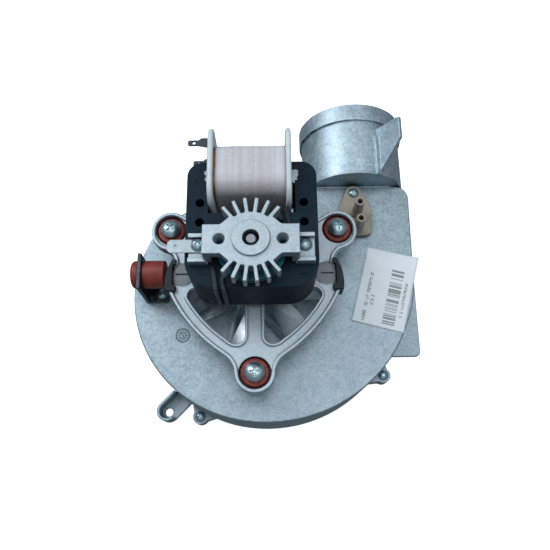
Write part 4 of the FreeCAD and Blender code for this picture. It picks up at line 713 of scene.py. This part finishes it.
# How far each plain node's edges are rounded, in mm
EDGES = {
    "rear_casing": 0.5, "casing_seal": 0.0, "casing_screws": 0.12, "inlet_ring": 0.2, "inlet_rivets": 0.2,
    "rotor_shaft": 0.1, "impeller_wheel": 0.0, "impeller_shroud": 0.1, "impeller_hub": 0.2,
    "impeller_nut": 0.15, "impeller_washer": 0.1, "shaft_seal": 0.2, "rotor_core": 0.15,
    "rotor_end_rings": 0.4, "shaft_washers": 0.1, "grommet_sleeves": 0.1, "bracket_screws": 0.14,
    "side_buffer_left": 0.5, "side_buffer_right": 0.5, "stator_core": 0.15, "coil_core": 0.12,
    "bobbin": 0.9, "coil_winding": 0.0, "shading_rings": 0.3, "front_bracket": 0.32, "front_bearing": 0.15,
    "rear_bearing": 0.15, "front_felt": 0.2, "rear_felt": 0.2, "front_clip": 0.06, "rear_clip": 0.06,
    "motor_screws": 0.12, "earth_tab": 0.12, "pressure_tap": 0.35, "tap_gasket": 0.1, "tap_screw": 0.12,
    "side_bush": 0.5, "side_screw": 0.12, "cooling_fan": 0.0,
}


def build_pieces():
    refined("front_casing", 1.8, casing_rule, 4)
    refined("motor_bracket", 0.4, join=False)
    for node, width in EDGES.items():
        refined(node, width)
    for node in ("coil_terminal_front", "coil_terminal_rear"):
        refined(node, 0.12, material=DARK_TERMINAL)
    refined("side_bracket", 0.3, material=SHADED_SHEET)
    for node in ("grommet_left", "grommet_right", "grommet_bottom"):
        grommet(node)
    coil_tape()
    label()
    date_stamp()


# ---------------------------------------------------------------- floor, light and camera

def floor():
    """A pale floor that glows a little, and that the object neither mirrors nor takes light from."""
    f = Finish("Pale_floor", roughness=0.9)
    f.colour(f.mix(f.noise(40.0, 2.0), (0.90, 0.91, 0.92), (0.94, 0.94, 0.94)))
    f.surface.inputs["Emission Color"].default_value = (0.96, 0.98, 1.0, 1.0)
    f.surface.inputs["Emission Strength"].default_value = 0.8
    mesh = bpy.data.meshes.new("Floor")
    reach = 3.0
    corners = [(-reach, -reach, 0), (reach, -reach, 0), (reach, reach, 0), (-reach, reach, 0)]
    mesh.from_pydata(corners, [], [(0, 1, 2, 3)])
    plane = bpy.data.objects.new("Floor", mesh)
    plane.location.z = cad_low.z - 0.3 * MM
    mesh.materials.append(f.material)
    bpy.context.scene.collection.objects.link(plane)
    plane.visible_glossy = False
    plane.visible_diffuse = False


def soft_light(name, away, size, power, tint):
    """A rectangular lamp that looks at the object's middle from a place away from it, in metres."""
    middle = (cad_low + cad_high) / 2
    light = bpy.data.lights.new(name, "AREA")
    light.shape = "RECTANGLE"
    light.size, light.size_y = size
    light.energy = power
    light.color = tint
    lamp = bpy.data.objects.new(name, light)
    lamp.location = middle + Vector(away)
    lamp.rotation_euler = (-Vector(away)).to_track_quat("-Z", "Y").to_euler()
    bpy.context.scene.collection.objects.link(lamp)


def lighting():
    """Two soft lamps under a sky that is brighter overhead."""
    world = bpy.data.worlds.new("Studio")
    bpy.context.scene.world = world
    world.use_nodes = True
    nodes, links = world.node_tree.nodes, world.node_tree.links
    sky = nodes["Background"]
    spot = nodes.new("ShaderNodeTexCoord")
    split = nodes.new("ShaderNodeSeparateXYZ")
    ramp = nodes.new("ShaderNodeValToRGB")
    links.new(spot.outputs["Generated"], split.inputs[0])
    links.new(split.outputs["Z"], ramp.inputs[0])
    links.new(ramp.outputs[0], sky.inputs["Color"])
    horizon, overhead = ramp.color_ramp.elements
    horizon.color, horizon.position = (0.32, 0.37, 0.41, 1), 0.2
    overhead.color, overhead.position = (0.88, 0.96, 1.0, 1), 0.9
    sky.inputs["Strength"].default_value = 0.42
    soft_light("Window", (-0.60, 0.42, 0.72), (0.5, 0.7), 4.8, (0.93, 0.97, 1.0))
    soft_light("Ceiling", (0.20, 0.05, 1.0), (0.8, 0.8), 3.4, (0.95, 0.98, 1.0))


def camera():
    """A hand-held view from above the near edge, 17 degrees off straight down."""
    away = Vector((-7.1, -114.05, 284.88)) * MM
    tilt, swing, roll = 0.294, -0.016, 0.003
    view = bpy.data.cameras.new("Camera")
    view.sensor_width = 36.0
    view.lens = 36.71
    view.shift_y = 0.0455
    view.clip_start = 0.01
    holder = bpy.data.objects.new("Camera", view)
    holder.location = (cad_low + cad_high) / 2 + away
    turn = Matrix.Rotation(swing, 4, "Z") @ Matrix.Rotation(tilt, 4, "X") @ Matrix.Rotation(roll, 4, "Z")
    holder.rotation_euler = turn.to_euler()
    bpy.context.scene.collection.objects.link(holder)
    bpy.context.scene.camera = holder


build_pieces()
floor()
lighting()
camera()
bpy.context.scene.view_settings.view_transform = "Standard"
